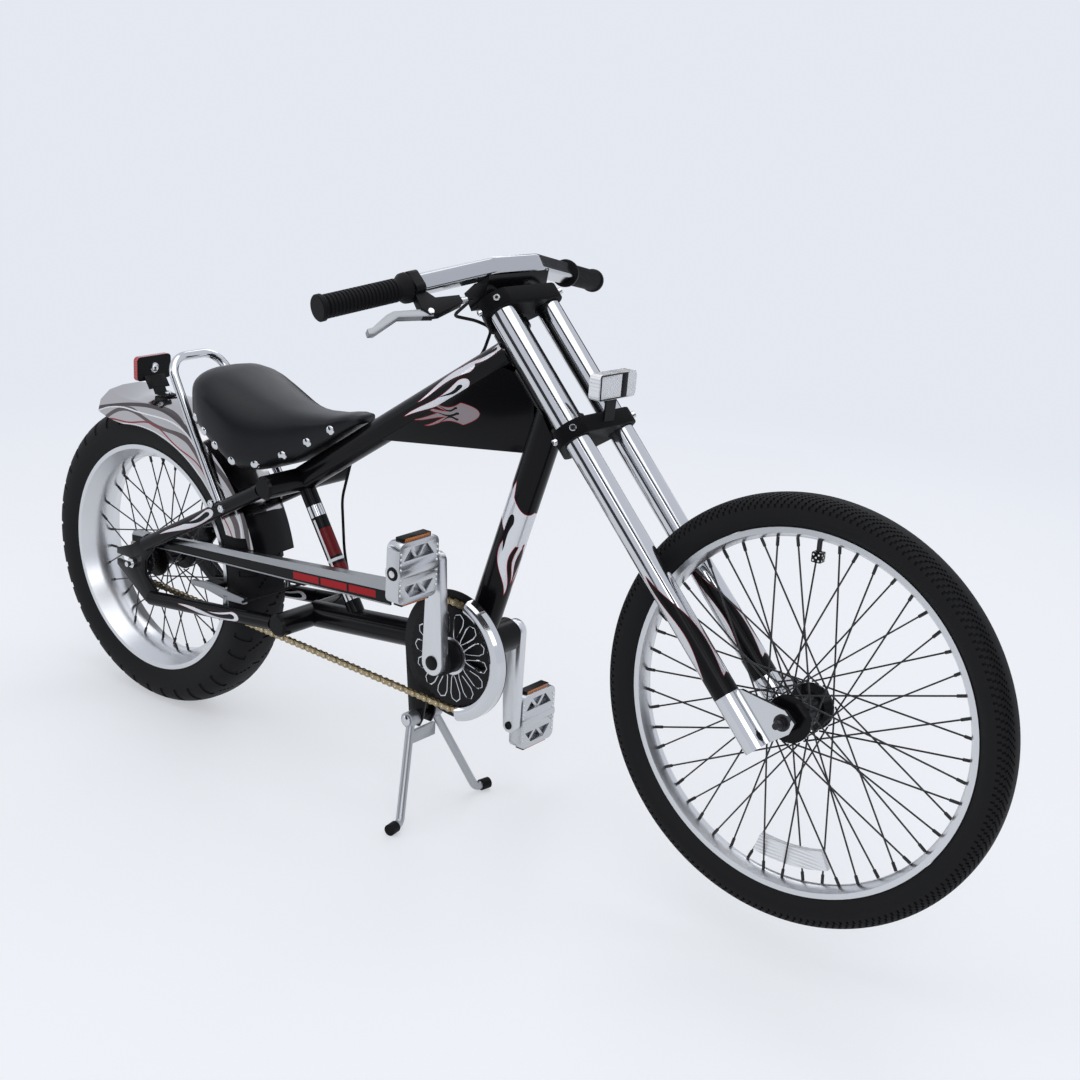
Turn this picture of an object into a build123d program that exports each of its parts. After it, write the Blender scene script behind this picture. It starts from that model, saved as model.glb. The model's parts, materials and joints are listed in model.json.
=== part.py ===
"""Chopper bicycle: fat rear wheel, tall raked fork, swept bar, riveted saddle and a twin-leg stand.

Millimetres, +X forward, +Y left, +Z up. The floor is Z = 0 and the origin lies on it, below the
middle of the bicycle's length. The bicycle is parked on its rear tyre and the stand's two feet.
"""
import os
from math import atan2, cos, degrees, pi, radians, sin, sqrt

from build123d import *

# Wheels and stance
rear_r = 280.0           # rear tyre radius
rear_half = 50.0         # half the width of the rear tyre
rear_rim_r = 211.0       # flange radius of the rear rim
rear_rim_half = 45.0     # half the width of the rear rim
front_r = 307.0          # front tyre radius
front_half = 27.0        # half the width of the front tyre
front_rim_r = 262.0      # flange radius of the front rim
front_rim_half = 16.0    # half the width of the front rim
wheelbase = 1328.0       # axle to axle, along the floor
front_lift = 74.0        # clear height below the parked front tyre
rear_spokes = 36
front_spokes = 52
spoke_r = 1.3

# Steering
rake = 43.0              # steering axis from upright
fork_offset = 92.0       # front axle ahead of the steering axis
leg_offset = 38.0        # fork legs ahead of the steering axis
leg_half = 55.0          # fork legs from the middle plane
leg_r = 19.0
parked_turn = 3.0        # the parked bar is turned this far to the left
lower_crown_w = 485.0    # height of the lower crown along the steering axis, from the front axle
crown_span = 220.0       # upper crown above the lower one
crown_h = 25.0
riser_h = 37.0           # middle of the bar above the upper crown
bar_square = 27.0        # width and height of the bar's squared middle
bar_r = 11.0             # the bar inside a grip
bar_half = 325.0         # half the width of the handlebar
bar_bend = 52.0          # half the length of the bar's straight middle
bar_sweep = 90.0         # the grips' ends lie this far behind the middle of the bar
bar_rise = 9.6           # the swept arms rise this many degrees above the fork's level

# Frame tubes
top_r = 22.0
down_r = 25.0
bottom_r = 23.0
strut_r = 14.0
stay_r = 13.0
yoke_r = 20.0
wall = 2.0               # wall of a frame tube
stay_y = 80.0            # stays from the middle plane
weld = 0.2               # gap at a coped joint, filled by the weld bead

# Places of the frame's corners, ahead of and above the rear axle
bottom_bracket = (0.5633 * wheelbase, 32.0)
upper_yoke = (352.0, 221.0)
lower_yoke = (388.0, -12.0)
strut_foot = (489.0, 10.0)
top_tube_below = 32.7    # the top tube's line meets the steering axis this far below the head's top

# Drive
chain_y = -59.0          # chain line, on the right
chain_half = 4.0         # half the width of the chain
pitch = 12.7
ring_teeth = 44
sprocket_teeth = 18
roller_r = 3.9
plate_r = 5.0            # half the height of a chain plate at a pin
plate_waist = 3.4        # half its height between pins
crank = 165.0
arm_y = 97.0             # middle of a crank arm
arm_half = 8.0
crank_lean = 1.5         # the right arm points up, this far back

# Stand
stand_pivot = (bottom_bracket[0] - 108.0, -120.0)
foot_x = stand_pivot[0] + 44.0
foot_y = 94.0
leg_bar_r = 7.0

clear = 0.3              # running clearance of a bearing

rear_x = -(wheelbase + front_r - rear_r) / 2
front_x = rear_x + wheelbase
front_z = front_r + front_lift
ring_r = pitch / 2 / sin(pi / ring_teeth)
sprocket_r = pitch / 2 / sin(pi / sprocket_teeth)
axle_r = 4.8
dropout_y = 77.0
axle_half = 98.0         # half the length of the rear axle


def spot(ahead, above, y=0.0):
    """Point measured from the rear axle, in the part's frame."""
    return Vector(rear_x + ahead, y, rear_r + above)


def run(start, end):
    """Plane at start that faces end, and the distance between them."""
    way = end - start
    side = Vector(0, 1, 0) if abs(way.normalized().Y) < 0.9 else Vector(1, 0, 0)
    return Plane(start, x_dir=side, z_dir=way), way.length


def across(ahead, above, y):
    """Plane that faces -Y, with +X to the right and +Z up, at a point from the rear axle."""
    return Plane(spot(ahead, above, y), x_dir=(1, 0, 0), z_dir=(0, -1, 0))


def cross_axis(ahead, above):
    """Axis along +Y through a point measured from the rear axle."""
    return Axis(spot(ahead, above), (0, 1, 0))


# The fork frame: u forward from the steering axis, v left, w up along it from the front axle.
tilt = radians(rake)
steer_up = Vector(-sin(tilt), 0, cos(tilt))
steer_ahead = Vector(cos(tilt), 0, sin(tilt))
steer_foot = Vector(front_x, 0, front_z) - steer_ahead * fork_offset
steer_axis = Axis(steer_foot, steer_up)
turn = radians(parked_turn)
fork_u = steer_ahead * cos(turn) + Vector(0, 1, 0) * sin(turn)
fork_v = Vector(0, 1, 0) * cos(turn) - steer_ahead * sin(turn)
fork = Plane(steer_foot, x_dir=fork_u, z_dir=steer_up)


def fork_spot(u, v, w):
    """Point of the fork frame, in the part's frame."""
    return steer_foot + fork_u * u + fork_v * v + steer_up * w


def fork_level(w):
    """Plane across the steering axis at a height along it, +X forward and +Y left."""
    return fork.offset(w)


def fork_side(v):
    """Plane along the steering axis that faces right, +X forward and +Y up."""
    return Plane(fork_spot(0, v, 0), x_dir=fork_u, z_dir=fork_v * -1)


ahead_bb, above_bb = bottom_bracket
upper_crown_w = lower_crown_w + crown_span
head_low_w = lower_crown_w + crown_h + 7.0
head_high_w = upper_crown_w - 7.0
head_r = 24.0
cup_r = 28.0
head_bore = 17.5
steerer_r = 14.3

# Head tube with a cup at each end
with BuildPart() as head_tube:
    with BuildSketch(Plane(steer_foot, x_dir=steer_ahead, z_dir=(0, -1, 0))) as head_section:
        with BuildLine():
            Polyline(
                (head_bore, head_low_w),
                (cup_r, head_low_w),
                (cup_r, head_low_w + 12),
                (head_r, head_low_w + 16),
                (head_r, head_high_w - 16),
                (cup_r, head_high_w - 12),
                (cup_r, head_high_w),
                (head_bore, head_high_w),
                close=True,
            )
        make_face()
    revolve(axis=steer_axis)
head_tube.part.label = "head_tube"

# The tubes that meet the head tube run to the steering axis and are coped round the head tube.
top_start = spot(*upper_yoke)
top_run = steer_foot + steer_up * (head_high_w - top_tube_below) - top_start
top_way = top_run.normalized()
top_length = top_run.length
top_tube_slope = top_way.Z / top_way.X
down_foot = spot(ahead_bb, above_bb)
down_head = steer_foot + steer_up * (head_low_w + 45.0)
head_core = cup_r + weld
head_mid = (head_low_w + head_high_w) / 2

# Upper and lower yokes: cross tubes that gather the stays
yoke_half = stay_y + stay_r
yokes = {}
for name, place in (("upper_yoke", upper_yoke), ("lower_yoke", lower_yoke)):
    with BuildPart() as yoke:
        with BuildSketch(across(*place, yoke_half)):
            Circle(yoke_r)
        extrude(amount=2 * yoke_half)
        chamfer(yoke.edges().filter_by(GeomType.CIRCLE), length=4)
        with BuildSketch(across(*place, yoke_half - 8)):
            Circle(yoke_r - 3)
        extrude(amount=2 * (yoke_half - 8), mode=Mode.SUBTRACT)
    yoke.part.label = name
    yokes[name] = yoke

# Top tube
top_plane, _ = run(top_start, top_start + top_way)
with BuildPart() as top_tube:
    with BuildSketch(top_plane):
        Circle(top_r)
    extrude(amount=top_length)
    with Locations(fork_level(head_mid).location):
        Cylinder(head_core, head_high_w - head_low_w + 200, mode=Mode.SUBTRACT)
    with BuildSketch(across(*upper_yoke, 200)):
        Circle(yoke_r + weld)
    extrude(amount=400, mode=Mode.SUBTRACT)
    with BuildSketch(top_plane.offset(yoke_r + 12)):
        Circle(top_r - wall)
    extrude(amount=top_length - yoke_r - head_r - 40, mode=Mode.SUBTRACT)
top_tube.part = top_tube.part.solids().sort_by(SortBy.VOLUME)[-1]
top_tube.part.label = "top_tube"

# Bottom bracket shell with its cups
shell_r = 28.0
shell_right = chain_y + chain_half + 3.0
shell_left = 82.0
spindle_r = 10.0
with BuildPart() as bb_shell:
    with BuildSketch(Plane(spot(ahead_bb, above_bb), x_dir=(0, 1, 0), z_dir=(1, 0, 0))):
        with BuildLine():
            Polyline(
                (shell_right, spindle_r + 1), (shell_right, shell_r), (shell_left - 4, shell_r),
                (shell_left, shell_r - 4), (shell_left, spindle_r + 1), (shell_left - 14, spindle_r + 1),
                (shell_left - 14, shell_r - 4), (shell_right + 14, shell_r - 4),
                (shell_right + 14, spindle_r + 1),
                close=True,
            )
        make_face()
    revolve(axis=cross_axis(ahead_bb, above_bb))
bb_shell.part.label = "bb_shell"

# Down tube, from the bottom bracket to the head tube
down_plane, down_length = run(down_foot, down_head)
with BuildPart() as down_tube:
    with BuildSketch(down_plane):
        Circle(down_r)
    extrude(amount=down_length)
    with Locations(fork_level(head_mid).location):
        Cylinder(head_core, head_high_w - head_low_w + 200, mode=Mode.SUBTRACT)
    with BuildSketch(across(ahead_bb, above_bb, 200)):
        Circle(shell_r + weld)
    extrude(amount=400, mode=Mode.SUBTRACT)
    with BuildSketch(down_plane.offset(shell_r + 12)):
        Circle(down_r - wall)
    extrude(amount=down_length - shell_r - head_r - 60, mode=Mode.SUBTRACT)
down_tube.part = down_tube.part.solids().sort_by(SortBy.VOLUME)[-1]
down_tube.part.label = "down_tube"

# Bottom tube, from the lower yoke to the bottom bracket
bottom_plane, bottom_length = run(spot(*lower_yoke), down_foot)
with BuildPart() as bottom_tube:
    with BuildSketch(bottom_plane):
        Circle(bottom_r)
    extrude(amount=bottom_length)
    with BuildSketch(across(*lower_yoke, 200)):
        Circle(yoke_r + weld)
    extrude(amount=400, mode=Mode.SUBTRACT)
    with BuildSketch(across(ahead_bb, above_bb, 200)):
        Circle(shell_r + weld)
    extrude(amount=400, mode=Mode.SUBTRACT)
    with BuildSketch(down_plane):
        Circle(down_r + weld)
    extrude(amount=down_length, mode=Mode.SUBTRACT)
    with BuildSketch(bottom_plane.offset(yoke_r + 12)):
        Circle(bottom_r - wall)
    extrude(amount=bottom_length - yoke_r - shell_r - 30, mode=Mode.SUBTRACT)
bottom_tube.part = bottom_tube.part.solids().sort_by(SortBy.VOLUME)[-1]
bottom_tube.part.label = "bottom_tube"

# Seat strut, from the upper yoke to the bottom tube
strut_plane, strut_length = run(spot(*upper_yoke), spot(*strut_foot))
with BuildPart() as strut:
    with BuildSketch(strut_plane):
        Circle(strut_r)
    extrude(amount=strut_length)
    with BuildSketch(across(*upper_yoke, 200)):
        Circle(yoke_r + weld)
    extrude(amount=400, mode=Mode.SUBTRACT)
    with BuildSketch(bottom_plane.offset(-100)):
        Circle(bottom_r + weld)
    extrude(amount=bottom_length + 100, mode=Mode.SUBTRACT)
    with BuildSketch(top_plane.offset(-50)):
        Circle(top_r + weld)
    extrude(amount=top_length, mode=Mode.SUBTRACT)
    with BuildSketch(strut_plane.offset(yoke_r + 10)):
        Circle(strut_r - wall)
    extrude(amount=strut_length - yoke_r - bottom_r - 20, mode=Mode.SUBTRACT)
strut.part = strut.part.solids().sort_by(SortBy.VOLUME)[-1]
strut.part.label = "seat_strut"

# Tank panel: the flat gusset that fills the corner of the top tube, head tube and down tube
panel_half = 16.0
panel_corners = (
    top_start + top_way * (0.344 * top_length),
    down_foot + (down_head - down_foot) * 0.815,
    steer_foot + steer_up * head_mid,
    top_start + top_way * (0.9 * top_length),
)
with BuildPart() as tank_panel:
    with BuildSketch(Plane((0, panel_half, 0), x_dir=(1, 0, 0), z_dir=(0, -1, 0))):
        with BuildLine():
            Polyline(*((corner.X, corner.Z) for corner in panel_corners), close=True)
        make_face()
    extrude(amount=2 * panel_half)
    with BuildSketch(top_plane):
        Circle(top_r + weld)
    extrude(amount=top_length + 200, mode=Mode.SUBTRACT)
    with BuildSketch(down_plane):
        Circle(down_r + weld)
    extrude(amount=down_length + 60, mode=Mode.SUBTRACT)
    with Locations(fork_level(head_mid).location):
        Cylinder(head_core, head_high_w - head_low_w + 200, mode=Mode.SUBTRACT)
tank_panel.part = tank_panel.part.solids().sort_by(SortBy.VOLUME)[-1]
tank_panel.part.label = "tank_panel"

# Rear dropouts: plates with a slot open to the rear, each between the ends of its two stays
stay_ends = {"seat": (46.0, 50.0), "chain": (62.0, -54.0)}
dropout_half = 3.0
slot_half = axle_r + clear
sides = (("right", -1), ("left", 1))
frame_pieces = []
for side, sign in sides:
    with BuildPart() as dropout:
        with BuildSketch(across(0, 0, sign * dropout_y + dropout_half)) as dropout_face:
            with BuildLine():
                Polyline(
                    (-50, 16), (-8, 32), (40, 66), (54, 40), (30, 10),
                    (30, -16), (60, -40), (58, -70), (30, -68), (-50, -16),
                    close=True,
                )
            make_face()
            fillet(dropout_face.vertices().group_by(Axis.X)[1:], radius=6)
            with Locations((-50, 0)):
                Rectangle(100, 2 * slot_half, mode=Mode.SUBTRACT)
            Circle(slot_half, mode=Mode.SUBTRACT)
        extrude(amount=2 * dropout_half)
    dropout.part.label = f"dropout_{side}"
    frame_pieces.append(dropout)

# Stays: the seat stays rise to the upper yoke, the chain stays run on to the lower yoke
for kind, place in (("seat", upper_yoke), ("chain", lower_yoke)):
    for side, sign in sides:
        stay_plane, stay_length = run(spot(*stay_ends[kind], sign * stay_y), spot(*place, sign * stay_y))
        with BuildPart() as stay:
            with BuildSketch(stay_plane.offset(-14)):
                Circle(stay_r)
            extrude(amount=stay_length + 14)
            with BuildSketch(across(*place, 200)):
                Circle(yoke_r + weld)
            extrude(amount=400, mode=Mode.SUBTRACT)
            with BuildSketch(across(0, 0, sign * dropout_y + dropout_half + weld)):
                Circle(90)
            extrude(amount=2 * (dropout_half + weld), mode=Mode.SUBTRACT)
            with BuildSketch(stay_plane.offset(60)):
                Circle(stay_r - wall)
            extrude(amount=stay_length - yoke_r - 80, mode=Mode.SUBTRACT)
        stay.part = stay.part.solids().sort_by(SortBy.VOLUME)[-1]
        stay.part.label = f"{kind}_stay_{side}"
        frame_pieces.append(stay)

# Rear brake arms: one on each chain stay, with a pad beside the rim
arm_in = 67.0
arm_thick = 8.0
arm_rear = 150.0
arm_front = 288.0
post_at = 240.0
pad_at = 193.0
pad_in = rear_rim_half + 1.8
with BuildPart() as brake_arms:
    for side, sign in sides:
        with BuildSketch(across(0, 0, sign * (arm_in + arm_thick / 2) + arm_thick / 2)):
            with BuildLine():
                Polyline(
                    (arm_rear, 4), (arm_rear + 40, 9), (post_at, 8), (arm_front, 6), (arm_front, -5),
                    (post_at + 10, -8), (post_at - 10, -8), (arm_rear + 40, -3), (arm_rear, -4),
                    close=True,
                )
            make_face()
        extrude(amount=arm_thick)
        with BuildSketch(across(pad_at, 3, sign * (arm_in + pad_in) / 2 + (arm_in - pad_in) / 2)):
            RectangleRounded(34, 11, 3)
        extrude(amount=arm_in - pad_in)
        post_foot = spot(post_at, -32, sign * (arm_in + arm_thick / 2 + 2))
        with BuildSketch(Plane(post_foot, x_dir=(1, 0, 0), z_dir=(0, 0, 1))):
            Circle(5)
        extrude(amount=30)
        stay_core, stay_core_length = run(
            spot(*stay_ends["chain"], sign * stay_y), spot(*lower_yoke, sign * stay_y)
        )
        with BuildSketch(stay_core):
            Circle(stay_r + weld)
        extrude(amount=stay_core_length, mode=Mode.SUBTRACT)
brake_arms.part = Compound(children=brake_arms.part.solids().sort_by(SortBy.VOLUME)[-2:])
brake_arms.part.label = "brake_arms"

# Rear axle with its nuts, fixed in the dropouts
with BuildPart() as rear_axle:
    with BuildSketch(across(0, 0, axle_half)):
        Circle(axle_r)
    extrude(amount=2 * axle_half)
    for side, sign in sides:
        with BuildSketch(across(0, 0, sign * (dropout_y + dropout_half + weld + 4) + 4)):
            RegularPolygon(9.5, 6)
        extrude(amount=8)
        with BuildSketch(across(0, 0, sign * (dropout_y - dropout_half - weld - 4) + 4)):
            Circle(9)
        extrude(amount=8)
rear_axle.part.label = "rear_axle"

# Saddle: it sits along the top tube, low in front and raised behind
tube_top = top_r / cos(atan2(top_tube_slope, 1)) + 1.0


def above_tube(ahead):
    """Height of the top tube's upper edge, from the rear axle."""
    return upper_yoke[1] + (ahead - upper_yoke[0]) * top_tube_slope + tube_top


saddle_half = 100.0
saddle_nose = 500.0
saddle_length = 354.0
saddle_h = 100.0
# side view: share of the length back from the nose, share of the height above the tube at the nose
saddle_profile = (
    (0.011, 0.087), (0.079, 0.137), (0.311, -0.013), (0.483, -0.003), (0.661, 0.167), (0.82, 0.36),
    (0.876, 0.387), (0.944, 0.387), (1.0, 0.187), (0.955, -0.253), (0.879, -0.513), (0.737, -0.833),
    (0.61, -1.153),
)
# plan: share of the length back from the nose, share of the half width
saddle_plan = ((-0.02, 0.24), (0.085, 0.34), (0.282, 0.52), (0.59, 1.0), (0.9, 1.0), (1.02, 0.62))
nose_z = above_tube(saddle_nose)
cantle = saddle_nose - 0.452 * saddle_length
with BuildPart() as saddle:
    with BuildSketch(across(0, 0, saddle_half)):
        with BuildLine():
            Polyline(
                (saddle_nose, nose_z + 0.5),
                *((saddle_nose - back * saddle_length, nose_z + up * saddle_h) for back, up in saddle_profile),
                (cantle, above_tube(cantle)),
                close=True,
            )
        make_face()
    extrude(amount=2 * saddle_half)
    with BuildSketch(Plane(spot(0, 0), x_dir=(1, 0, 0), z_dir=(0, 0, 1))):
        with BuildLine():
            Polyline(
                *((saddle_nose - back * saddle_length, wide * saddle_half) for back, wide in saddle_plan),
                *((saddle_nose - back * saddle_length, -wide * saddle_half) for back, wide in saddle_plan[::-1]),
                close=True,
            )
        make_face()
    extrude(amount=nose_z + 2 * saddle_h, mode=Mode.INTERSECT)
saddle.part.label = "saddle"

# Sissy bar: a tall hoop behind the saddle that stands on the seat stays
hoop_r = 8.0
hoop_foot = (226.0, 166.0)
hoop_tip = (72.0, 386.0)
hoop_start = spot(*hoop_foot)
hoop_way = spot(*hoop_tip) - hoop_start
hoop_plane = Plane(hoop_start, x_dir=(0, 1, 0), z_dir=Vector(0, 1, 0).cross(hoop_way))
hoop_h = hoop_way.length
with BuildPart() as sissy_bar:
    with BuildLine(hoop_plane) as hoop_path:
        FilletPolyline(
            (-76, 0), (-66, 0.55 * hoop_h), (-56, hoop_h), (56, hoop_h), (66, 0.55 * hoop_h), (76, 0),
            radius=40,
        )
    with BuildSketch(Plane(hoop_path.line @ 0, z_dir=hoop_path.line % 0)):
        Circle(hoop_r)
    sweep()
    for side, sign in sides:
        hoop_stay, hoop_stay_length = run(
            spot(*stay_ends["seat"], sign * stay_y), spot(*upper_yoke, sign * stay_y)
        )
        with BuildSketch(hoop_stay):
            Circle(stay_r + weld)
        extrude(amount=hoop_stay_length, mode=Mode.SUBTRACT)
sissy_bar.part = sissy_bar.part.solids().sort_by(SortBy.VOLUME)[-1]
sissy_bar.part.label = "sissy_bar"

# Rear fender: a hoop over the tyre, open below, bolted to the seat stays
fender_gap = 18.0        # from the tyre's tread to the fender's crown
fender_r = rear_r + fender_gap
fender_half = 62.0
fender_skirt = 48.0
fender_wall = 2.0
fender_front = 14.0      # angles from straight ahead, about the rear axle
fender_tail = 97.0       # where the tail begins to kick up
tail_kick = 26.0
tail_r = 150.0
tongue_half = 50.0       # the front end narrows to pass beside the chain
tongue_top = 104.0
fender_boss = stay_y - stay_r - fender_half
# the bolt lies where the seat stay passes the skirt
stay_foot = Vector(*stay_ends["seat"])
stay_way = (Vector(*upper_yoke) - stay_foot).normalized()
bolt_r = fender_r - fender_skirt + 7.4
bolt_run = sqrt(bolt_r**2 - stay_foot.length**2 + stay_foot.dot(stay_way) ** 2) - stay_foot.dot(stay_way)
bolt_spot = stay_foot + stay_way * bolt_run
fender_bolt = (bolt_spot.X, bolt_spot.Y)
tail_turn = radians(fender_tail)
tail_centre = ((fender_r + tail_r) * cos(tail_turn), (fender_r + tail_r) * sin(tail_turn))
with BuildPart() as rear_fender:
    with BuildLine(across(0, 0, 0)) as fender_path:
        CenterArc((0, 0), fender_r, fender_front, fender_tail - fender_front)
        CenterArc(tail_centre, tail_r, fender_tail + 180.0, -tail_kick)
    with BuildSketch(Plane(fender_path.line @ 0, x_dir=(0, 1, 0), z_dir=fender_path.line % 0)):
        with BuildLine():
            Polyline(
                (0, 0), (18, 0), (fender_half - 16, 6), (fender_half, 24), (fender_half, fender_skirt),
                (fender_half - fender_wall, fender_skirt), (fender_half - fender_wall, 25),
                (fender_half - 17, 6 + fender_wall), (17, fender_wall), (0, fender_wall),
                close=True,
            )
        make_face()
        mirror(about=Plane.YZ)
    sweep(path=fender_path.line)
    for sign in (-1, 1):
        with BuildSketch(across(fender_r, tongue_top - 100, sign * 100 + 50)):
            Rectangle(160, 200)
        extrude(amount=100, mode=Mode.SUBTRACT)
    for sign in (-1, 1):
        with BuildSketch(across(*fender_bolt, sign * (fender_half + stay_y - stay_r) / 2 + fender_boss / 2)):
            Circle(7)
        extrude(amount=fender_boss)
rear_fender.part.label = "rear_fender"

# Rear reflector on a bracket that stands on the fender's crown
with BuildPart() as rear_reflector:
    with BuildSketch(across(0, 0, 12)):
        with BuildLine():
            Polyline(
                (-20, fender_r + 1.2), (12, fender_r + 0.6), (12, fender_r + 4), (-16, fender_r + 5),
                (-34, fender_r + 32), (-37, fender_r + 32), close=True,
            )
        make_face()
    extrude(amount=24)
    with BuildSketch(Plane(spot(-46, fender_r + 46), x_dir=(0, 1, 0), z_dir=(1, 0, 0))):
        RectangleRounded(76, 44, 8)
    extrude(amount=10)
rear_reflector.part.label = "rear_reflector"

# Chain: one loop of links round the ring and the sprocket
ring_at = Vector(ahead_bb, above_bb)
span = sqrt(ahead_bb**2 + above_bb**2)
line_lean = atan2(above_bb, ahead_bb)
wrap = atan2(ring_r - sprocket_r, sqrt(span**2 - (ring_r - sprocket_r) ** 2))


def chain_loop(grow):
    """Corner angles of the chain's path round both wheels, with radii that are larger by grow."""
    up = line_lean + pi / 2 + wrap
    down = line_lean - pi / 2 - wrap
    big = ring_r + grow
    small = sprocket_r + grow
    return (
        (small * cos(up), small * sin(up)),
        (ahead_bb + big * cos(up), above_bb + big * sin(up)),
        (ahead_bb + big, above_bb),
        (ahead_bb + big * cos(down), above_bb + big * sin(down)),
        (small * cos(down), small * sin(down)),
        (-small, 0),
    )


line_length = sqrt(span**2 - (ring_r - sprocket_r) ** 2)
ring_wrap = pi + 2 * wrap
loop_length = 2 * line_length + ring_r * ring_wrap + sprocket_r * (2 * pi - ring_wrap)
links = 2 * round(loop_length / pitch / 2)
half_link = loop_length / links / 2


def chain_point(along, grow):
    """Point at a distance along the chain's pitch line, moved outwards by grow."""
    up = line_lean + pi / 2 + wrap
    down = line_lean - pi / 2 - wrap
    ring_end = line_length + ring_r * ring_wrap
    if along < line_length:
        back, angle, part_way = (0.0, 0.0, sprocket_r), up, along
    elif along < ring_end:
        back, angle, part_way = (ahead_bb, above_bb, ring_r), up - (along - line_length) / ring_r, 0.0
    elif along < ring_end + line_length:
        back, angle, part_way = (ahead_bb, above_bb, ring_r), down, along - ring_end
    else:
        back, angle, part_way = (0.0, 0.0, sprocket_r), down - (along - ring_end - line_length) / sprocket_r, 0.0
    reach = back[2] + grow
    return (
        back[0] + reach * cos(angle) + part_way * sin(angle),
        back[1] + reach * sin(angle) - part_way * cos(angle),
    )


with BuildPart() as chain:
    with BuildSketch(across(0, 0, chain_y + chain_half)):
        for outside, mode in ((1, Mode.ADD), (-1, Mode.SUBTRACT)):
            heights = (outside * plate_r, outside * plate_waist)
            with BuildLine():
                Polyline(*(chain_point(n * half_link, heights[n % 2]) for n in range(2 * links)), close=True)
            make_face(mode=mode)
    extrude(amount=2 * chain_half)
chain.part.label = "chain"

# Chain guard: a long channel over the upper run, narrow behind and wide in front
guard_wall = 1.6


def upper_run(ahead):
    """Height of the chain's upper run, from the rear axle."""
    a, b = chain_loop(0)[:2]
    return a[1] + (b[1] - a[1]) * (ahead - a[0]) / (b[0] - a[0])


guard_inner = chain_y + chain_half + 1.5
guard_clear = 5.0        # from the guard's face to the passing crank arm
guard_depth = arm_y - arm_half - guard_clear + guard_inner
# ahead, depth of the top outwards from the chain's inner side, height of the face
guard_stations = ((-24.0, 12.0, 20.0), (130.0, 12.4, 24.0), (640.0, guard_depth, 34.0))
guard_bolt = (60.0, 49.0)
with BuildPart() as chain_guard:
    for ahead, depth, height in guard_stations:
        top = upper_run(ahead) + plate_r + 12
        outer = guard_inner - depth
        with BuildSketch(Plane(spot(ahead, top), x_dir=(0, 1, 0), z_dir=(1, 0, 0))):
            with BuildLine():
                Polyline(
                    (guard_inner, 0), (outer + 0.3 * depth, 0), (outer, -0.35 * height), (outer, -height),
                    (outer + guard_wall, -height), (outer + guard_wall, -0.35 * height - 0.5),
                    (outer + 0.3 * depth + 0.5, -guard_wall), (guard_inner, -guard_wall),
                    close=True,
                )
            make_face()
    loft(ruled=True)
    with BuildSketch(across(*guard_bolt, guard_inner - 11)):
        Circle(5)
    extrude(amount=8)
    guard_stay, guard_stay_length = run(spot(*stay_ends["seat"], -stay_y), spot(*upper_yoke, -stay_y))
    with BuildSketch(guard_stay.offset(-40)):
        Circle(stay_r + weld)
    extrude(amount=guard_stay_length + 40, mode=Mode.SUBTRACT)
chain_guard.part = chain_guard.part.solids().sort_by(SortBy.VOLUME)[-1]
chain_guard.part.label = "chain_guard"

# Backing plate behind the chainring and the bright crescent round its front half
shield_r = ring_r + 16.0
shield_y = chain_y + chain_half + 3.0
with BuildPart() as backing_plate:
    with BuildSketch(across(ahead_bb, above_bb, shield_y + 2)):
        Circle(shield_r)
        Circle(shell_r + weld, mode=Mode.SUBTRACT)
    extrude(amount=2)
backing_plate.part.label = "backing_plate"

crescent_low = -78.0     # angles of the crescent's ends, about the bottom bracket
crescent_high = 72.0
crescent_y = chain_y - chain_half - 4.0
with BuildPart() as crescent:
    with BuildSketch(Plane(spot(ahead_bb, above_bb), x_dir=(0, 1, 0), z_dir=(1, 0, 0))):
        with BuildLine():
            Polyline(
                (shield_y - weld, shield_r), (shield_y - weld, shield_r - 2), (crescent_y + 2.4, shield_r - 2),
                (crescent_y - 0.4, shield_r - 11), (crescent_y + 2.2, shield_r - 20),
                (crescent_y + 1.4, shield_r - 22), (crescent_y - 1.2, shield_r - 18),
                (crescent_y - 2.6, shield_r - 11), (crescent_y - 1.2, shield_r - 4), (crescent_y + 3, shield_r),
                close=True,
            )
        make_face()
    revolve(axis=cross_axis(ahead_bb, above_bb), revolution_arc=crescent_high - crescent_low)
crescent.part = crescent.part.rotate(cross_axis(ahead_bb, above_bb), 90.0 - crescent_high)
crescent.part.label = "crescent_guard"

# Stand bracket: two cheeks below the bottom tube, with the pivot pin through them
pivot_r = 6.0
cheek_y = 14.0
cheek = 4.0
cheek_top = 135.0
with BuildPart() as stand_bracket:
    for sign in (-1, 1):
        with BuildSketch(across(*stand_pivot, sign * cheek_y + cheek / 2)):
            with BuildLine():
                Polyline((-15, 0), (-8, -15), (8, -15), (15, 0), (36, cheek_top), (-30, cheek_top), close=True)
            make_face()
        extrude(amount=cheek)
    with BuildSketch(bottom_plane.offset(-100)):
        Circle(bottom_r + weld)
    extrude(amount=bottom_length + 100, mode=Mode.SUBTRACT)
    with BuildSketch(across(*stand_pivot, 38)):
        Circle(pivot_r)
    extrude(amount=76)
stand_bracket.part.label = "stand_bracket"

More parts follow.
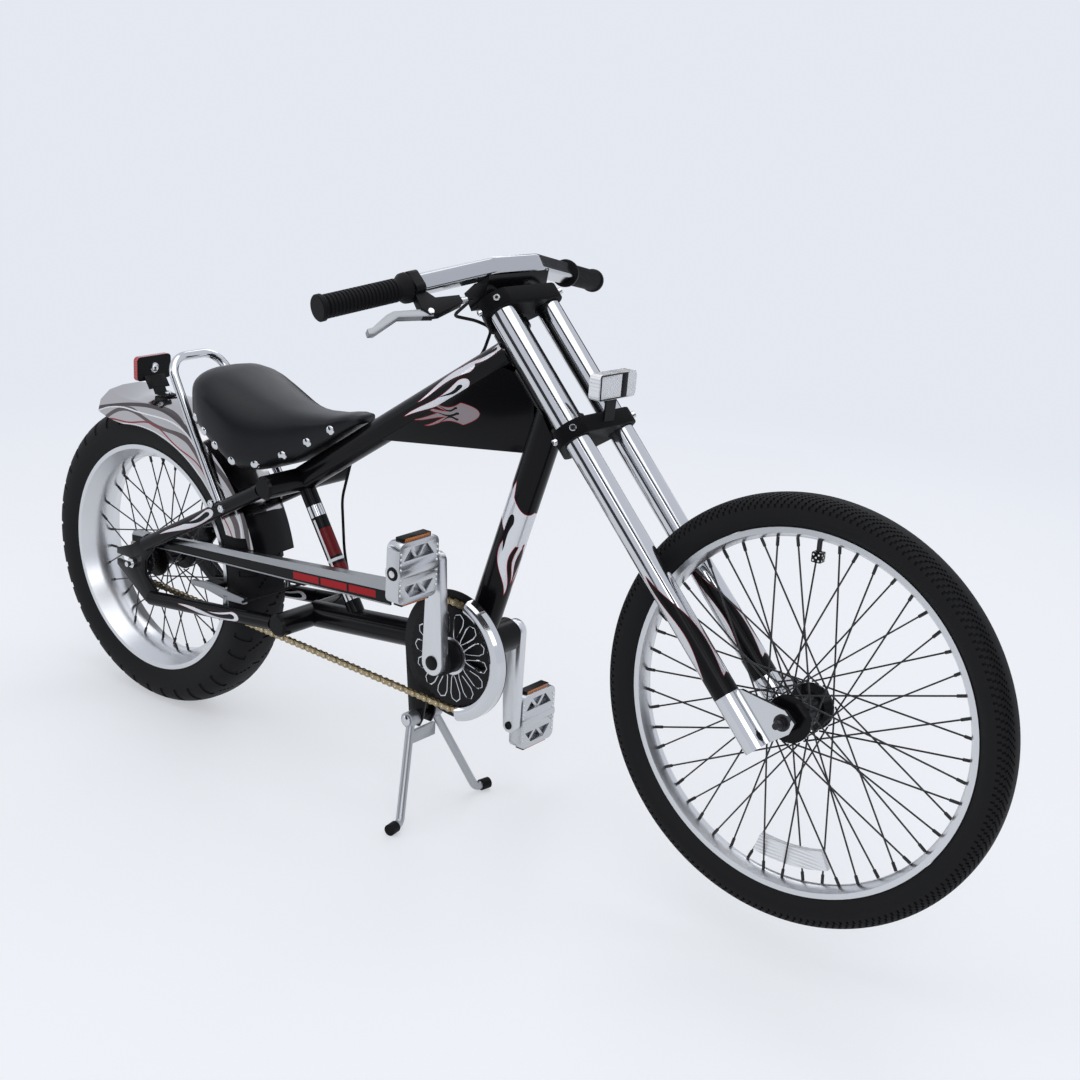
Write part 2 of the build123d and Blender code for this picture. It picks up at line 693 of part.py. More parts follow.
# Stand: two spread legs on bosses outside the cheeks, with a web between them
boss_r = 13.0
boss_in = cheek_y + cheek / 2 + 0.6
boss_out = 37.0
boss_y = (boss_in + boss_out) / 2
pivot = spot(*stand_pivot)
foot_r = 9.5
sole_z = foot_r
foot_reach = 26.0
knee = {}
tip = {}
for side, sign in sides:
    knee[side] = Vector(rear_x + foot_x, sign * foot_y, sole_z)
    tip[side] = Vector(rear_x + foot_x + 4, sign * (foot_y + foot_reach), sole_z)
with BuildPart() as stand:
    for side, sign in sides:
        with BuildSketch(across(*stand_pivot, sign * boss_y + (boss_out - boss_in) / 2)):
            Circle(boss_r)
        extrude(amount=boss_out - boss_in)
        with BuildLine() as leg_path:
            FilletPolyline(Vector(pivot.X, sign * boss_y, pivot.Z), knee[side], tip[side], radius=14)
        with BuildSketch(Plane(leg_path.line @ 0, z_dir=leg_path.line % 0)):
            Circle(leg_bar_r)
        sweep(path=leg_path.line)
    with BuildSketch(Plane(pivot + Vector(0, 0, -34), x_dir=(0, 1, 0), z_dir=(1, 0.0, 0))):
        Rectangle(2 * boss_y + 8, 22)
    extrude(amount=3, both=True)
    with BuildSketch(across(*stand_pivot, 38)):
        Circle(pivot_r + clear)
    extrude(amount=76, mode=Mode.SUBTRACT)
stand.part.label = "stand"

with BuildPart() as stand_feet:
    for side, sign in sides:
        foot_plane, foot_length = run(knee[side], tip[side])
        with BuildSketch(foot_plane.offset(12)):
            Circle(foot_r)
            Circle(leg_bar_r + weld, mode=Mode.SUBTRACT)
        extrude(amount=foot_length - 12)
        with BuildSketch(foot_plane.offset(foot_length + weld)):
            Circle(foot_r)
        extrude(amount=3)
        with BuildSketch(foot_plane.offset(foot_length - 1)):
            Circle(foot_r)
            Circle(leg_bar_r + weld, mode=Mode.SUBTRACT)
        extrude(amount=2)
stand_feet.part.label = "stand_feet"

# Wheels: each is a tyre, a rim, spokes in crossed pairs and a flanged hub
rear_centre = spot(0, 0)
front_centre = fork_spot(fork_offset, 0, 0)
wheels = {
    "rear": (rear_centre, Vector(0, 1, 0), Vector(0, 0, 1)),
    "front": (front_centre, fork_v, steer_up),
}
# half widths and radii: tyre, rim; then flange half, flange radius, barrel radius, hub half, spokes
wheel_sizes = {
    "rear": (rear_half, rear_r, rear_rim_half, rear_rim_r, 32.0, 36.0, 20.0, 42.0, rear_spokes),
    "front": (front_half, front_r, front_rim_half, front_rim_r, 33.0, 34.0, 24.0, 46.0, front_spokes),
}
wheel_pieces = []
for name, (centre, axle_way, up_way) in wheels.items():
    half, tyre_r, rim_half, rim_r, flange_y, flange_r, barrel_r, hub_half, spokes = wheel_sizes[name]
    section = Plane(centre, x_dir=axle_way, z_dir=axle_way.cross(up_way))
    axle_axis = Axis(centre, axle_way)
    deep = tyre_r - rim_r
    skin = 0.1 * deep
    with BuildPart() as tyre:
        with BuildSketch(section) as tyre_section:
            with BuildLine():
                Polyline(
                    (0, tyre_r), (0.45 * half, tyre_r - 0.04 * deep), (0.84 * half, tyre_r - 0.22 * deep),
                    (half, tyre_r - 0.54 * deep), (rim_half - 1.5, rim_r + 0.5), (rim_half - 7.0, rim_r + 0.5),
                    (half - 2 * skin, tyre_r - 0.54 * deep), (0.6 * half, tyre_r - 0.22 * deep),
                    (0, tyre_r - 0.16 * deep),
                    close=True,
                )
            make_face()
            mirror(about=Plane.YZ)
        revolve(axis=axle_axis)
    tyre.part.label = f"{name}_tyre"
    rim_deep = 0.42 * rim_half
    bed_r = rim_r - 8.0
    rim_wall = 3.5
    with BuildPart() as rim:
        with BuildSketch(section) as rim_section:
            with BuildLine():
                Polyline(
                    (0, bed_r - rim_deep + rim_wall), (rim_half - 6, rim_r - 12 + rim_wall),
                    (rim_half - 3, rim_r), (rim_half, rim_r), (rim_half, rim_r - 8),
                    (0.3 * rim_half, bed_r - rim_deep), (0, bed_r - rim_deep),
                    close=True,
                )
            make_face()
            mirror(about=Plane.YZ)
        revolve(axis=axle_axis)
    rim.part.label = f"{name}_rim"
    with BuildPart() as hub:
        with BuildSketch(section) as hub_section:
            with BuildLine():
                Polyline(
                    (0, axle_r + clear), (hub_half, axle_r + clear), (hub_half, 12), (flange_y + 2, 14),
                    (flange_y + 2, flange_r), (flange_y - 2, flange_r), (flange_y - 8, barrel_r), (0, barrel_r),
                    close=True,
                )
            make_face()
            mirror(about=Plane.YZ)
        revolve(axis=axle_axis)
    hub.part.label = f"{name}_hub"
    out_way = axle_way.cross(up_way)
    with BuildPart() as spoke_set:
        for sign in (-1, 1):
            for lead in (-1, 1):
                planes = []
                for number in range(spokes // 4):
                    angle = 2 * pi * (4 * number + (1 + sign) + (1 + lead) / 2) / spokes
                    hub_turn = angle + lead * radians(62)
                    inner = out_way * cos(hub_turn) + up_way * sin(hub_turn)
                    outer = out_way * cos(angle) + up_way * sin(angle)
                    spoke_start = centre + inner * (flange_r + 1.6) + axle_way * sign * (flange_y + lead * 2.2)
                    spoke_end = centre + outer * (bed_r - rim_deep - 0.5) + axle_way * sign * 0.2 * rim_half
                    spoke_plane, spoke_length = run(spoke_start, spoke_end)
                    planes.append(spoke_plane)
                with BuildSketch(*planes):
                    RegularPolygon(spoke_r, 6)
                extrude(amount=spoke_length)
    spoke_set.part.label = f"{name}_spokes"
    wheel_pieces.extend((tyre, rim, hub, spoke_set))

# Toothed wheels lie inside the chain's plates, with a tooth between each pair of rollers
tooth = 2.6


def toothed(count, root):
    """Corners of a toothed outline: two at the root and two at the tip of each tooth."""
    step = 2 * pi / count
    corners = []
    for number in range(count):
        for share, out in ((0.0, 0.0), (0.34, 0.0), (0.56, tooth), (0.78, tooth)):
            angle = step * (number + share)
            corners.append(((root + out) * cos(angle), (root + out) * sin(angle)))
    return corners


# Rear sprocket on its carrier, beside the hub
carrier_y = wheel_sizes["rear"][7] + weld
with BuildPart() as sprocket:
    with BuildSketch(across(0, 0, chain_y + 1.5)):
        with BuildLine():
            Polyline(*toothed(sprocket_teeth, sprocket_r - plate_r - 0.8 - tooth), close=True)
        make_face()
        with PolarLocations(20, 6):
            RegularPolygon(4, 8, mode=Mode.SUBTRACT)
        Circle(axle_r + clear, mode=Mode.SUBTRACT)
    extrude(amount=3)
    with BuildSketch(across(0, 0, -carrier_y)):
        Circle(14)
        Circle(axle_r + clear, mode=Mode.SUBTRACT)
    extrude(amount=-chain_y + 3 - carrier_y)
sprocket.part.label = "rear_sprocket"

# Chainring: a toothed disc with long slots
ring_slots = 14
disc_r = ring_r - plate_r - 0.8 - tooth
with BuildPart() as chainring:
    with BuildSketch(across(ahead_bb, above_bb, chain_y + 1.5)):
        with BuildLine():
            Polyline(*toothed(ring_teeth, disc_r), close=True)
        make_face()
        for number in range(ring_slots):
            slot_turn = Plane.XY.rotated((0, 0, 360.0 * number / ring_slots))
            with Locations(slot_turn.location):
                with BuildLine():
                    Polyline(
                        (0.4 * disc_r, 0), (0.47 * disc_r, 3), (0.76 * disc_r, 6), (0.84 * disc_r, 4),
                        (0.88 * disc_r, 0), (0.84 * disc_r, -4), (0.76 * disc_r, -6), (0.47 * disc_r, -3),
                        close=True,
                    )
                make_face(mode=Mode.SUBTRACT)
        Circle(spindle_r + weld, mode=Mode.SUBTRACT)
    extrude(amount=3)
    with BuildSketch(across(ahead_bb, above_bb, chain_y - 1.5)):
        Circle(25)
        Circle(spindle_r + weld, mode=Mode.SUBTRACT)
    extrude(amount=arm_y - arm_half + chain_y - 1.5 - weld)
chainring.part.label = "chainring"

# Crank arms: the right one points up, the left one down and carries the spindle
pedal_pin_r = 5.5
pedal_in = arm_y + arm_half + 4.0
pedal_width = 86.0
arm_swing = radians(crank_lean)
crank_pieces = []
pedal_at = {}
for side, sign in sides:
    reach = -sign * crank
    eye = (ahead_bb - reach * sin(arm_swing), above_bb + reach * cos(arm_swing))
    pedal_at[side] = eye
    with BuildPart() as arm:
        with BuildSketch(across(0, 0, sign * arm_y + arm_half)) as arm_face:
            with Locations(bottom_bracket):
                Circle(20)
            with Locations(eye):
                Circle(13)
            make_hull()
        extrude(amount=2 * arm_half)
        if side == "left":
            with BuildSketch(across(ahead_bb, above_bb, arm_y)):
                Circle(spindle_r)
            extrude(amount=2 * arm_y)
        else:
            with BuildSketch(across(ahead_bb, above_bb, 0)):
                Circle(spindle_r + weld)
            extrude(amount=arm_y, mode=Mode.SUBTRACT)
        with BuildSketch(across(*eye, sign * arm_y)):
            Circle(pedal_pin_r)
        extrude(amount=-sign * (pedal_in - arm_y + pedal_width + 2))
    arm.part.label = f"crank_{side}"
    crank_pieces.append(arm)

# Pedals: open alloy platforms on a barrel, with a reflector bar along each long edge
pedal_tall = 96.0
pedal_deep = 26.0
window_half = pedal_width / 2 - 10
window_top = pedal_tall / 2 - 9
for side, sign in sides:
    eye = pedal_at[side]
    middle = sign * (pedal_in + pedal_width / 2)
    with BuildPart() as pedal:
        with BuildSketch(Plane(spot(*eye, middle), x_dir=(0, 1, 0), z_dir=(1, 0, 0))) as platform:
            RectangleRounded(pedal_width, pedal_tall, 12)
            for way in (-1, 1):
                with BuildLine():
                    Polyline(
                        (-window_half, way * 20), (window_half, way * 20), (window_half - 16, way * window_top),
                        (-window_half + 16, way * window_top), close=True,
                    )
                make_face(mode=Mode.SUBTRACT)
        extrude(amount=pedal_deep / 2, both=True)
        with BuildSketch(across(*eye, middle + pedal_width / 2)):
            Circle(15)
        extrude(amount=pedal_width)
        with BuildSketch(Plane(spot(*eye, middle), x_dir=(0, 1, 0), z_dir=(1, 0, 0))):
            with Locations((0, pedal_tall / 2 + 2), (0, -pedal_tall / 2 - 2)):
                Rectangle(pedal_width - 26, 6)
        extrude(amount=8, both=True)
        with BuildSketch(across(*eye, middle + pedal_width / 2)):
            Circle(pedal_pin_r + clear)
        extrude(amount=pedal_width, mode=Mode.SUBTRACT)
    pedal.part.label = f"pedal_{side}"
    crank_pieces.append(pedal)

# Fork crowns: each is a plate round the steerer and both legs
fork_pieces = []
race_r = 25.0
for name, level in (("lower_crown", lower_crown_w), ("upper_crown", upper_crown_w)):
    with BuildPart() as crown:
        with BuildSketch(fork_level(level)) as crown_face:
            Circle(30)
            with Locations((leg_offset, leg_half), (leg_offset, -leg_half)):
                Circle(leg_r + 8)
            make_hull()
            with Locations((leg_offset, leg_half), (leg_offset, -leg_half)):
                Circle(leg_r + weld, mode=Mode.SUBTRACT)
            if name == "upper_crown":
                Circle(steerer_r + weld, mode=Mode.SUBTRACT)
        extrude(amount=crown_h)
        if name == "lower_crown":
            with BuildSketch(fork_level(level)):
                Circle(steerer_r)
            extrude(amount=upper_crown_w + crown_h - level)
            with BuildSketch(fork_level(level + crown_h)):
                Circle(race_r)
            extrude(amount=head_low_w - clear - level - crown_h)
        else:
            with BuildSketch(fork_level(head_high_w + clear)):
                Circle(race_r)
                Circle(steerer_r + weld, mode=Mode.SUBTRACT)
            extrude(amount=level - head_high_w - clear)
    crown.part.label = name
    fork_pieces.append(crown)

# Fork legs: long tubes from the cast tips up through both crowns
leg_low_w = -14.0
tip_w = 70.0
plate_half = 3.0
plate_v = 51.0
for side, sign in sides:
    with BuildPart() as leg:
        with BuildSketch(fork_level(tip_w + weld)):
            with Locations((leg_offset, sign * leg_half)):
                Circle(leg_r)
                Circle(leg_r - 2.5, mode=Mode.SUBTRACT)
        extrude(amount=upper_crown_w + crown_h - 1 - tip_w - weld)
    leg.part.label = f"fork_leg_{side}"
    fork_pieces.append(leg)

# Fork tips: each closes a leg and carries the axle in a plate ahead of it
for side, sign in sides:
    with BuildPart() as tip_cast:
        with BuildSketch(fork_level(leg_low_w)):
            with Locations((leg_offset, sign * leg_half)):
                Circle(leg_r)
        extrude(amount=tip_w - leg_low_w)
        with BuildSketch(fork_side(sign * plate_v + plate_half)):
            with BuildLine():
                Polyline(
                    (leg_offset + leg_r - 4, tip_w), (leg_offset + leg_r + 6, tip_w - 4),
                    (fork_offset + 14, 12), (fork_offset + 16, -10), (fork_offset, -18),
                    (leg_offset + leg_r - 4, leg_low_w),
                    close=True,
                )
            make_face()
            with Locations((fork_offset, 0)):
                Circle(axle_r + clear, mode=Mode.SUBTRACT)
        extrude(amount=2 * plate_half)
        with BuildSketch(fork_level(leg_low_w + 12)):
            with Locations((leg_offset, sign * leg_half)):
                Circle(leg_r - 5)
        extrude(amount=tip_w - leg_low_w, mode=Mode.SUBTRACT)
    tip_cast.part.label = f"fork_tip_{side}"
    fork_pieces.append(tip_cast)

front_axle_half = plate_v + 22.0
with BuildPart() as front_axle:
    with BuildSketch(Plane(fork_spot(fork_offset, front_axle_half, 0), x_dir=fork_u, z_dir=fork_v * -1)):
        Circle(axle_r)
    extrude(amount=2 * front_axle_half)
    for sign in (-1, 1):
        nut_v = sign * (plate_v + plate_half + weld + 4) + 4
        with BuildSketch(Plane(fork_spot(fork_offset, nut_v, 0), x_dir=fork_u, z_dir=fork_v * -1)):
            RegularPolygon(9, 6)
        extrude(amount=8)
front_axle.part.label = "front_axle"

# The bar's own frame: x ahead, y left, with its swept arms in the plane
riser_low_w = upper_crown_w + crown_h + weld
bar_w = upper_crown_w + crown_h + riser_h
bar_u = 57.0
arm_climb = radians(bar_rise)
bar_ahead = fork_u * cos(arm_climb) - steer_up * sin(arm_climb)
bar_plane = Plane(fork_spot(bar_u, 0, bar_w), x_dir=bar_ahead, z_dir=bar_ahead.cross(fork_v))
bar_arm = sqrt(bar_sweep**2 + (bar_half - bar_bend) ** 2)
grip_length = 0.494 * bar_arm


def on_arm(sign, away):
    """Point of a swept arm at a distance from its end, in the bar's frame."""
    share = away / bar_arm
    return (-bar_sweep * (1 - share), sign * (bar_half - (bar_half - bar_bend) * share))


square_path = (on_arm(-1, grip_length), (0, -bar_bend), (0, bar_bend), on_arm(1, grip_length))

# Riser block between the upper crown and the handlebar, with a seat for the bar
riser_half = bar_bend + 21.0
with BuildPart() as riser:
    with BuildSketch(fork_side(riser_half)):
        with BuildLine():
            Polyline(
                (bar_u - 53, riser_low_w), (bar_u - 20, riser_low_w), (bar_u + 8, bar_w - 13),
                (bar_u - 16, bar_w - 9), (bar_u - 48, bar_w - 9),
                close=True,
            )
        make_face()
    extrude(amount=2 * riser_half)
    with BuildLine(bar_plane) as seat_path:
        FilletPolyline(*square_path, radius=30)
    with BuildSketch(Plane(seat_path.line @ 0, x_dir=bar_plane.z_dir, z_dir=seat_path.line % 0)):
        Rectangle(bar_square + 2 * weld, bar_square + 2 * weld)
    sweep(path=seat_path.line, mode=Mode.SUBTRACT)
riser.part = riser.part.solids().sort_by(SortBy.VOLUME)[-1]
riser.part.label = "riser"

# Handlebar: a squared middle, swept back to round ends inside the grips
with BuildPart() as handlebar:
    with BuildLine(bar_plane) as bar_path:
        FilletPolyline(*square_path, radius=30)
    with BuildSketch(Plane(bar_path.line @ 0, x_dir=bar_plane.z_dir, z_dir=bar_path.line % 0)):
        RectangleRounded(bar_square, bar_square, 5)
    sweep(path=bar_path.line)
    for sign in (-1, 1):
        arm_plane, arm_length = run(
            bar_plane.from_local_coords(Vector(*on_arm(sign, grip_length))),
            bar_plane.from_local_coords(Vector(*on_arm(sign, 0))),
        )
        with BuildSketch(arm_plane):
            Circle(bar_r)
        extrude(amount=arm_length)
handlebar.part.label = "handlebar"

# Grips: rubber sleeves with a collar at the inner end and a closed outer end
grip_r = 18.0
with BuildPart() as grips:
    for sign in (-1, 1):
        grip_end = bar_plane.from_local_coords(Vector(*on_arm(sign, 0)))
        grip_plane, _ = run(grip_end, bar_plane.from_local_coords(Vector(*on_arm(sign, grip_length))))
        with BuildSketch(Plane(grip_end, x_dir=bar_plane.z_dir, z_dir=bar_plane.z_dir.cross(grip_plane.z_dir))):
            with BuildLine():
                Polyline(
                    (0, -4), (grip_r + 1, -4), (grip_r + 1, 4), (grip_r - 2, 9), (grip_r - 2, grip_length - 16),
                    (grip_r + 4, grip_length - 8), (grip_r + 4, grip_length - weld), (bar_r + weld, grip_length - weld),
                    (bar_r + weld, -weld), (0, -weld),
                    close=True,
                )
            make_face()
        revolve(axis=Axis(grip_end, grip_plane.z_dir))
grips.part.label = "grips"

# Brake lever on the right: a clamp on the bar beside the grip, a barrel below the bar and a long blade
lever_end = bar_plane.from_local_coords(Vector(*on_arm(-1, 0)))
lever_way = (bar_plane.from_local_coords(Vector(0, -bar_bend)) - lever_end).normalized()
lever_lean = fork_u * 0.12 - steer_up
lever_drop = (lever_lean - lever_way * lever_lean.dot(lever_way)).normalized()
# the lever's frame: x inwards along the bar from the grip's end, y away from the bar
lever_plane = Plane(lever_end, x_dir=lever_way, z_dir=lever_way.cross(lever_drop))
clamp_at = grip_length + 10.0
barrel_end = grip_length + 66.0
barrel_drop = 41.0
with BuildPart() as brake_lever:
    with BuildSketch(Plane(lever_end + lever_way * clamp_at, x_dir=lever_drop, z_dir=lever_way)):
        RectangleRounded(bar_square + 9, bar_square + 9, 8)
    extrude(amount=8, both=True)
    with BuildSketch(lever_plane):
        with BuildLine():
            Polyline(
                (clamp_at - 8, 14), (clamp_at + 8, 14), (clamp_at + 18, 30), (barrel_end, barrel_drop - 6),
                (barrel_end, barrel_drop + 6), (clamp_at + 12, 56), (clamp_at - 4, 54), (clamp_at - 12, 42),
                close=True,
            )
        make_face()
    extrude(amount=7, both=True)
    with BuildSketch(lever_plane):
        with BuildLine():
            Polyline(
                (clamp_at + 4, 50), (clamp_at - 14, 42), (98, 35), (84, 38), (54, 52), (46, 52), (44, 60), (52, 62),
                (88, 50), (100, 46), (clamp_at - 16, 54), (clamp_at, 58),
                close=True,
            )
        make_face()
    extrude(amount=5, both=True)
    with BuildLine(bar_plane) as clamp_path:
        FilletPolyline(*square_path, radius=30)
    with BuildSketch(Plane(clamp_path.line @ 0, x_dir=bar_plane.z_dir, z_dir=clamp_path.line % 0)):
        Rectangle(bar_square + 2 * weld, bar_square + 2 * weld)
    sweep(path=clamp_path.line, mode=Mode.SUBTRACT)
brake_lever.part.label = "brake_lever"

# Brake cable: from the lever behind the riser, then along the frame's left side to the brake arms
cable_r = 2.5
cable_u = -40.0          # where it passes behind the steering axis
cable_v = 14.0
lever_stop = lever_plane.from_local_coords(Vector(barrel_end + weld, barrel_drop))
with BuildPart() as lever_cable:
    with BuildLine() as lever_run:
        FilletPolyline(
            lever_stop,
            lever_stop + lever_way * 24,
            fork_spot(-24, -riser_half - 5, bar_w - 25),
            fork_spot(cable_u, -10, bar_w - 29),
            fork_spot(cable_u, cable_v, upper_crown_w + 20),
            radius=10,
        )
    with BuildSketch(Plane(lever_run.line @ 0, z_dir=lever_run.line % 0)):
        Circle(cable_r)
    sweep(path=lever_run.line)
lever_cable.part.label = "lever_cable"

head_pass = steer_foot + steer_ahead * cable_u + Vector(0, cable_v, 0) + steer_up * (upper_crown_w + 15)
tube_side = top_r + cable_r + 1.0
tube_near = top_start + top_way * (0.64 * top_length) + Vector(0, tube_side, 0)
tube_far = top_start + top_way * (0.2 * top_length) + Vector(0, tube_side, 0)
strut_side = strut_r + cable_r + 9.0
cross_x = arm_front + cable_r + 0.5
cross_y = arm_in + arm_thick + 14.0
with BuildPart() as brake_cable:
    with BuildLine() as frame_run:
        FilletPolyline(
            head_pass,
            head_pass + Vector(-30, 14, -44),
            tube_near,
            tube_far,
            spot(upper_yoke[0] + 64, upper_yoke[1] - 26, strut_side + 3),
            spot(strut_foot[0] - 62, strut_foot[1] + 96, strut_side),
            spot(lower_yoke[0] + 46, lower_yoke[1] + 50, strut_side + 10),
            spot(lower_yoke[0] - 8, lower_yoke[1] + 34, cross_y - 16),
            spot(cross_x + 34, 2, cross_y),
            spot(cross_x, 2, cross_y),
            spot(cross_x, 2, -arm_in - arm_thick - 6),
            radius=9,
        )
    with BuildSketch(Plane(frame_run.line @ 0, z_dir=frame_run.line % 0)):
        Circle(cable_r)
    sweep(path=frame_run.line)
brake_cable.part.label = "brake_cable"

# Front reflector on a bracket ahead of the lower crown
with BuildPart() as front_reflector:
    reflector_at = fork_spot(fork_offset + 10, 0, lower_crown_w + 46)
    stem_low = fork_spot(leg_offset + 30, 0, lower_crown_w + crown_h / 2)
    stem_plane, stem_length = run(stem_low, reflector_at)
    with BuildSketch(stem_plane.offset(-10)):
        Rectangle(24, 3)
    extrude(amount=stem_length + 4)
    with BuildSketch(fork_level(lower_crown_w - 1)):
        Circle(30 + weld)
        with Locations((leg_offset, leg_half), (leg_offset, -leg_half)):
            Circle(leg_r + 8 + weld)
        make_hull()
    extrude(amount=crown_h + 2, mode=Mode.SUBTRACT)
    with BuildSketch(Plane(reflector_at, x_dir=fork_v, z_dir=(1, 0, 0))):
        RectangleRounded(90, 38, 8)
    extrude(amount=9, both=True)
front_reflector.part.label = "front_reflector"

os.makedirs("parts", exist_ok=True)
pieces = [
    head_tube, top_tube, down_tube, bottom_tube, bb_shell, strut, tank_panel, *yokes.values(), *frame_pieces,
    rear_axle, brake_arms, saddle, sissy_bar, rear_fender, rear_reflector, chain, chain_guard, backing_plate, crescent,
    stand_bracket, stand, stand_feet, *wheel_pieces, sprocket, chainring, *crank_pieces, *fork_pieces,
    front_axle, riser, handlebar, grips, brake_lever, lever_cable, brake_cable, front_reflector,
]
for piece in pieces:
    export_step(piece.part, f"parts/{piece.part.label}.step")
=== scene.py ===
"""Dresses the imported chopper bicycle: paint, chrome, rubber, leather, trim, studio and camera."""

import json
import logging
from dataclasses import dataclass
from enum import Enum
from math import atan2, copysign, cos, hypot, pi, radians, sin, sqrt
from typing import Callable, Iterable, Sequence

import bmesh
import bpy
from mathutils import Matrix, Vector

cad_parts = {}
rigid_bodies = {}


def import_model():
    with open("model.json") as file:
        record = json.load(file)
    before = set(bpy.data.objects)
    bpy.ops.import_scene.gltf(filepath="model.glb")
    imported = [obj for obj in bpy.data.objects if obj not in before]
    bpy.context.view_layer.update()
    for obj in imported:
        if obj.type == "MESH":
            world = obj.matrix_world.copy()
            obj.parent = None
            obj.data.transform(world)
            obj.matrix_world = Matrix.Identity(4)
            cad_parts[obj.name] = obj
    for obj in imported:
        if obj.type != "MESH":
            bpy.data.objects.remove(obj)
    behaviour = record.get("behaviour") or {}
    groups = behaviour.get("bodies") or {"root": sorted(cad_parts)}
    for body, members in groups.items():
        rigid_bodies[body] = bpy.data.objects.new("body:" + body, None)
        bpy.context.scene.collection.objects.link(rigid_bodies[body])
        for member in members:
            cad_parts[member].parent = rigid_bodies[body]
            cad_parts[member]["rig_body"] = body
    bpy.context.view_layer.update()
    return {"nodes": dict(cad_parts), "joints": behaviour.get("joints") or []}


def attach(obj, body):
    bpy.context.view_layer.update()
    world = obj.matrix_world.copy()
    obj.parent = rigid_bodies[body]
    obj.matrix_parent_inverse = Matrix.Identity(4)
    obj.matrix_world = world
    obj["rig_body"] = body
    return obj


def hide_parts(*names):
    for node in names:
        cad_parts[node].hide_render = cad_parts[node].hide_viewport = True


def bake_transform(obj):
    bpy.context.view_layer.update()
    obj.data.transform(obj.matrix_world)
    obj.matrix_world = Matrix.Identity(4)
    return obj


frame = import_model()

logging.basicConfig(level=logging.INFO, format="%(message)s")
log = logging.getLogger("chopper")

MM = 0.001
MERGE_M = 1e-6
NODES = frame["nodes"]
JOINTS = {joint["name"]: joint for joint in frame["joints"]}
LEFT = Vector((0, 1, 0))
UP = Vector((0, 0, 1))
AHEAD = Vector((1, 0, 0))

Colour = tuple[float, float, float, float]
Mesh = bmesh.types.BMesh
Piece = bpy.types.Object
Places = Iterable[Matrix]
Profile = Sequence[tuple[float, float]]


class Side(Enum):
    """A side of the bicycle, with its sign along Y."""

    RIGHT = -1
    LEFT = 1

    @property
    def label(self) -> str:
        """The side's word in the names of nodes."""
        return self.name.lower()

    @property
    def out(self) -> Vector:
        """Direction away from the middle plane."""
        return LEFT * self.value

    def beside(self, point: Vector, y: float) -> Vector:
        """A point shifted to a distance from the middle plane, in millimetres."""
        return Vector((point.x, self.value * y * MM, point.z))


class Tread(Enum):
    """The kinds of groove in a tyre's tread."""

    SIPES = "diagonal sipes on the shoulders"
    BLOCKS = "blocks from shoulder to shoulder"


def joint_point(name: str) -> Vector:
    """Point on a joint's axis, in metres."""
    return Vector(JOINTS[name]["pos_m"])


def joint_axis(name: str, along: Vector) -> Vector:
    """Unit vector along a joint's axis, on the same side as another direction."""
    axis = Vector(JOINTS[name]["axis"]).normalized()
    return axis if axis.dot(along) > 0 else -axis


REAR_AXLE = joint_point("rear_wheel_spin")
FRONT_AXLE = joint_point("front_wheel_spin")
CRANK_CENTRE = joint_point("crank_spin")
STEER_UP = joint_axis("steering", UP)
STEER_AHEAD = LEFT.cross(STEER_UP)
FORK_V = joint_axis("front_wheel_spin", LEFT)
FORK_U = FORK_V.cross(STEER_UP)
FORK_OFFSET = 92.0
STEER_FOOT = FRONT_AXLE - FORK_U * FORK_OFFSET * MM
LOWER_CROWN_W = 485.0
UPPER_CROWN_W = 705.0
CROWN_H = 25.0
LEG_U = 38.0
LEG_V = 55.0
LEG_R = 19.0


def spot(ahead: float, above: float, y: float = 0.0) -> Vector:
    """Point measured from the rear axle.

    Args:
        ahead: distance ahead of the rear axle, in millimetres.
        above: height above the rear axle, in millimetres.
        y: distance to the left of the middle plane, in millimetres.

    Returns:
        The point in metres, in the part's frame.
    """
    return REAR_AXLE + Vector((ahead, y, above)) * MM


def fork_spot(u: float, v: float, w: float) -> Vector:
    """Point of the turned fork: ahead of the steering axis, left of it and up it, in millimetres."""
    return STEER_FOOT + (FORK_U * u + FORK_V * v + STEER_UP * w) * MM


SEAT_JOINT = spot(352, 221)


def frame_at(origin: Vector, z_way: Vector, x_way: Vector | None = None) -> Matrix:
    """Placement at a point whose Z axis lies along a direction.

    Args:
        origin: the point, in metres.
        z_way: direction of the local Z axis.
        x_way: rough direction of the local X axis.

    Returns:
        The placement as a matrix.
    """
    z = z_way.normalized()
    hint = x_way or (UP if abs(z.z) < 0.9 else AHEAD)
    y = z.cross(hint).normalized()
    return Matrix.Translation(origin) @ Matrix((y.cross(z), y, z)).transposed().to_4x4()


def raised(places: Places, height: float) -> list[Matrix]:
    """Placements moved along their own Z axes, by a height in millimetres."""
    return [place @ Matrix.Translation((0, 0, height * MM)) for place in places]


def rounded(corners: Sequence[Vector], radius: float, steps: int = 6) -> list[Vector]:
    """Points along a line through corners, with each corner rounded off.

    Args:
        corners: the line's corners, in metres.
        radius: distance from a corner at which its curve starts, in millimetres.
        steps: pieces in a curve.

    Returns:
        The points, in order.
    """
    points = [corners[0]]
    for before, corner, after in zip(corners, corners[1:], corners[2:]):
        cut = min(radius * MM, 0.49 * (before - corner).length, 0.49 * (after - corner).length)
        start = corner + (before - corner).normalized() * cut
        end = corner + (after - corner).normalized() * cut
        for step in range(steps + 1):
            share = step / steps
            points.append(start.lerp(corner, share).lerp(corner.lerp(end, share), share))
    points.append(corners[-1])
    return points


def math_node(operation: str, swapped: bool = False) -> Callable[..., "Signal"]:
    """Makes a signal's method that adds one Math node.

    Args:
        operation: Blender's name for the operation.
        swapped: whether the other value goes first.

    Returns:
        The method.
    """

    def method(signal: "Signal", *others: object) -> "Signal":
        """Adds the node and returns its value."""
        values = (*others, signal) if swapped else (signal, *others)
        return signal.graph.node("ShaderNodeMath", {"operation": operation}, dict(enumerate(values)))

    return method


